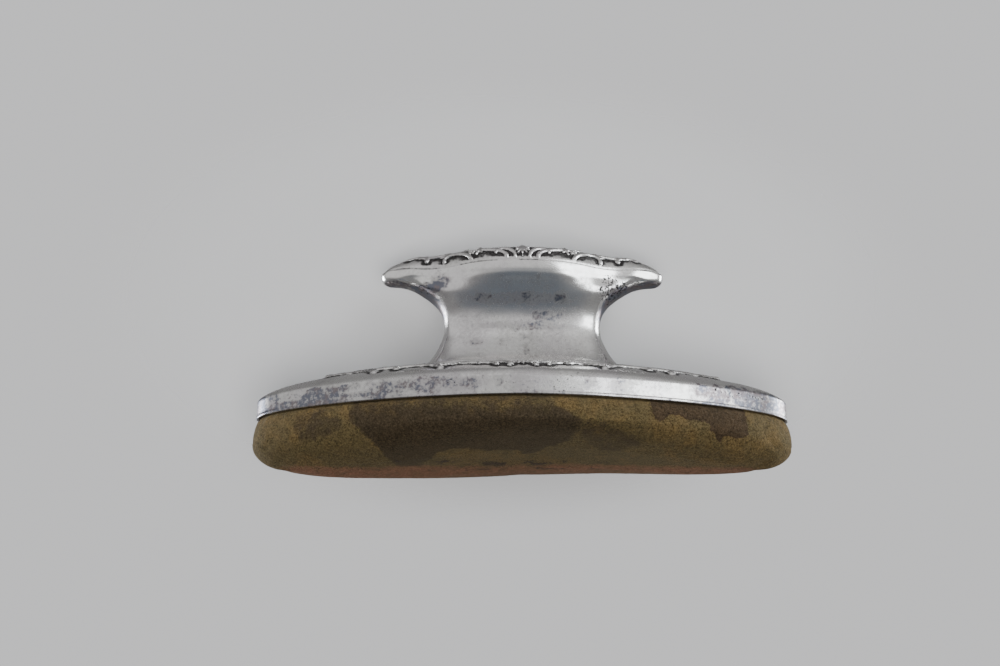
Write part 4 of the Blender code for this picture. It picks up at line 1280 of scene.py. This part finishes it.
def build_tacks():
    """Domed tack heads, where the CAD has them, each with its shank."""
    sides = 28
    a = np.linspace(0, 2 * math.pi, sides, endpoint=False)
    for k in range(14):
        node = "tack_%02d" % (k + 1)
        lo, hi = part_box(node)
        cx, cy = (lo.x + hi.x) / 2 / MM, (lo.y + hi.y) / 2 / MM
        z0, z1 = lo.z / MM, hi.z / MM
        rows = []
        under = z1 - 0.9
        # slightly tilted and dented, as hand-driven tacks are
        tilt = (hash3(np.int64(k), np.int64(3), np.int64(5), 7) - 0.5) * 0.10
        for r, z in ((0.04, z0), (0.34, z0 + 0.8), (0.42, under - 0.6), (0.42, under - 0.02),
                     (1.35, under - 0.06), (1.62, under + 0.02), (1.70, under + 0.14),
                     (1.66, under + 0.27), (1.45, under + 0.50), (1.05, under + 0.72),
                     (0.55, under + 0.85), (0.2, under + 0.89)):
            rows.append(np.stack([cx + r * np.cos(a), cy + r * np.sin(a),
                                  z + tilt * r * np.cos(a)], -1))
        obj = closed_stack(node + "_finished", np.array(rows), {}, body="pad_unit",
                           mat=TACK, smooth_angle=60)
        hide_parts(node)


cover = build_cover()
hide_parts("cover_shell")
build_handle()
for half in ("front", "back"):
    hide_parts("handle_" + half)
cap = build_cap()
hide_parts("handle_cap")
leather = build_leather()
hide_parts("chamois_cover")
wool = build_wool()
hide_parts("wool_padding")
build_tacks()
for node, mat in (("core_board", WOOD), ("felt_underlay", FELT)):
    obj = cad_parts[node]
    for slot_index in range(max(1, len(obj.material_slots))):
        if len(obj.material_slots) == 0:
            obj.data.materials.append(mat)
        else:
            obj.material_slots[slot_index].material = mat


# -------------------------------------------------------------- camera, studio
def make_camera():
    elevation, roll, distance = math.radians(20.0), math.radians(0.264), 0.472
    target = Vector((-0.00535, 0.0, 0.03547))
    ahead = Vector((0, math.cos(elevation), math.sin(elevation)))
    up0 = Vector((0, -math.sin(elevation), math.cos(elevation)))
    right0 = Vector((1, 0, 0))
    c, s = math.cos(roll), math.sin(roll)
    right = c * right0 + s * up0
    up = -s * right0 + c * up0
    data = bpy.data.cameras.new("camera")
    data.lens = 70.0
    data.sensor_width = 36.0
    data.clip_start, data.clip_end = 0.01, 10.0
    cam = bpy.data.objects.new("camera", data)
    m = Matrix((right, up, -ahead)).transposed().to_4x4()
    m.translation = target - ahead * distance
    cam.matrix_world = m
    bpy.context.scene.collection.objects.link(cam)
    bpy.context.scene.camera = cam
    return ahead


def area(name, place, aim, size, power, colour=(1, 1, 1), size_y=None):
    data = bpy.data.lights.new(name, "AREA")
    data.energy = power
    data.color = colour
    data.shape = "RECTANGLE"
    data.size = size
    data.size_y = size_y or size
    lamp = bpy.data.objects.new(name, data)
    lamp.location = place
    direction = Vector(aim) - Vector(place)
    lamp.rotation_mode = "QUATERNION"
    lamp.rotation_quaternion = direction.to_track_quat("-Z", "Y")
    lamp.visible_camera = False
    bpy.context.scene.collection.objects.link(lamp)
    return lamp


def make_world(ahead):
    """A dim soft room with a pale band of light in front and a dark curtain
    low in front, as the silver shows them."""
    world = bpy.data.worlds.new("studio")
    bpy.context.scene.world = world
    world.use_nodes = True
    tree = world.node_tree
    tree.nodes.clear()
    n = Nodes(tree)
    coord = n.add("ShaderNodeTexCoord")
    direction = coord.outputs["Generated"]

    def facing(azimuth, elevation):
        az, el = math.radians(azimuth), math.radians(elevation)
        dot = n.add("ShaderNodeVectorMath", operation="DOT_PRODUCT")
        n.join(direction, dot.inputs[0])
        dot.inputs[1].default_value = (math.sin(az) * math.cos(el),
                                       -math.cos(az) * math.cos(el), math.sin(el))
        return dot.outputs["Value"]

    def spot(azimuth, elevation, inner, outer):
        return n.ramp(facing(azimuth, elevation), math.cos(math.radians(outer)),
                      math.cos(math.radians(inner)))

    split = n.add("ShaderNodeSeparateXYZ")
    n.join(direction, split.inputs[0])
    up = split.outputs["Z"]
    # base, the same level towards the surface it lies against, band of light in front
    level = n.ramp(facing(180, 18), -0.30, 0.12, BASE, PAPER)
    front = n.ramp(split.outputs["Y"], 0.05, -0.35)
    band = n.maths("MULTIPLY", n.ramp(up, -0.12, 0.16), n.ramp(up, 0.95, 0.70))
    level = n.maths("ADD", level, n.maths("MULTIPLY",
                    n.maths("MULTIPLY", band, front), BAND))
    dark = n.maths("MAXIMUM", spot(0, -20, 6, 24),
                   n.maths("MULTIPLY", spot(0, -62, 14, 38), 0.8))
    level = n.maths("ADD", level, n.maths("MULTIPLY", spot(0, 66, 6, 32), 0.30))
    level = n.maths("MULTIPLY", level, n.maths("SUBTRACT", 1.0,
                    n.maths("MULTIPLY", dark, 0.40)))
    tint = n.mix(dark, (1.0, 1.0, 1.01), (0.82, 0.93, 1.10))
    grey = n.add("ShaderNodeCombineColor")
    for i in range(3):
        n.join(level, grey.inputs[i])
    lit = n.add("ShaderNodeBackground")
    n.join(n.mix(1.0, tint, grey.outputs[0], "MULTIPLY"), lit.inputs["Color"])
    lit.inputs["Strength"].default_value = 1.0
    seen = n.add("ShaderNodeBackground")
    seen.inputs["Color"].default_value = (0.74, 0.74, 0.75, 1)
    seen.inputs["Strength"].default_value = 1.0
    path = n.add("ShaderNodeLightPath")
    mixer = n.add("ShaderNodeMixShader")
    n.join(path.outputs["Is Camera Ray"], mixer.inputs[0])
    n.join(lit.outputs[0], mixer.inputs[1])
    n.join(seen.outputs[0], mixer.inputs[2])
    out = n.add("ShaderNodeOutputWorld")
    n.join(mixer.outputs[0], out.inputs["Surface"])


BASE, PAPER, BAND = 0.25, 0.25, 0.43


def pale_material(name, colour, fade=False):
    """Matt pale stage, clear from behind; fade makes its edges melt away."""
    mat = bpy.data.materials.new(name)
    mat.use_nodes = True
    tree = mat.node_tree
    shader = tree.nodes["Principled BSDF"]
    shader.inputs["Base Color"].default_value = (*colour, 1)
    shader.inputs["Roughness"].default_value = 1.0
    shader.inputs["Specular IOR Level"].default_value = 0.0
    n = Nodes(tree)
    geo = n.add("ShaderNodeNewGeometry")
    clear = n.add("ShaderNodeBsdfTransparent")
    mixer = n.add("ShaderNodeMixShader")
    hidden = geo.outputs["Backfacing"]
    if fade:
        coord = n.add("ShaderNodeTexCoord")
        squeeze = n.add("ShaderNodeMapping")
        squeeze.inputs["Scale"].default_value = (1 / 0.112, 1 / 0.060, 0)
        squeeze.inputs["Location"].default_value = (0, -0.26, 0)
        n.join(coord.outputs["Object"], squeeze.inputs["Vector"])
        length = n.add("ShaderNodeVectorMath", operation="LENGTH")
        n.join(squeeze.outputs["Vector"], length.inputs[0])
        hidden = n.maths("MAXIMUM", hidden, n.ramp(length.outputs["Value"], 0.62, 1.0))
    n.join(hidden, mixer.inputs[0])
    n.join(shader.outputs[0], mixer.inputs[1])
    n.join(clear.outputs[0], mixer.inputs[2])
    out = tree.nodes["Material Output"]
    n.join(mixer.outputs[0], out.inputs["Surface"])
    return mat


def plane(name, centre, normal, width, height, mat):
    nrm = Vector(normal).normalized()
    q = nrm.to_track_quat("Z", "Y")
    mesh = bpy.data.meshes.new(name)
    pts = [Vector((sx * width / 2, sy * height / 2, 0))
           for sx, sy in ((-1, -1), (1, -1), (1, 1), (-1, 1))]
    mesh.from_pydata(pts, [], [(0, 1, 2, 3)])
    mesh.materials.append(mat)
    obj = bpy.data.objects.new(name, mesh)
    obj.matrix_world = Matrix.Translation(centre) @ q.to_matrix().to_4x4()
    bpy.context.scene.collection.objects.link(obj)
    return obj


view_axis = make_camera()
make_world(view_axis)
PALE = pale_material("pale_stage", (0.515, 0.515, 0.522), fade=True)
floor = plane("floor", (0, 0, -0.0002), (0, 0, 1), 6, 6, pale_material("pale_floor", (0.74, 0.74, 0.75)))
# what the buffer lies against in the photograph: touches the far rim and the
# far edge of the handle
floor.visible_shadow = False
floor.visible_diffuse = False
floor.visible_glossy = False
lean = plane("lying_surface", (-0.005, 0.0160, 0.0345), (0, -0.950, -0.313), 1.6, 1.3, PALE)
lean.visible_shadow = False
lean.visible_diffuse = False
lean.visible_glossy = False


def softbox(name, azimuth, elevation, distance, width, height, power, colour):
    az, el = math.radians(azimuth), math.radians(elevation)
    place = Vector((math.sin(az) * math.cos(el), -math.cos(az) * math.cos(el),
                    math.sin(el))) * distance + Vector((0, 0, 0.03))
    return area(name, place, (0, 0, 0.03), width, power, colour, height)


softbox("window_left", -114, 4, 1.3, 0.64, 0.52, 24.0, (0.93, 0.97, 1.0))
softbox("window_right", 40, 19, 1.3, 0.80, 0.66, 7.8, (0.92, 0.97, 1.0))
softbox("window_side", 104, 16, 1.3, 0.62, 0.80, 20.0, (0.93, 0.97, 1.0))
for name, az, el, power in (("front_high", -12, 58, 15.0), ("front_low", 4, -30, 21.0),
                            ("behind", 165, 52, 11.0)):
    lamp = softbox(name, az, el, 1.5, 1.0, 0.8, power, (1.0, 0.99, 0.97))
    lamp.visible_glossy = False
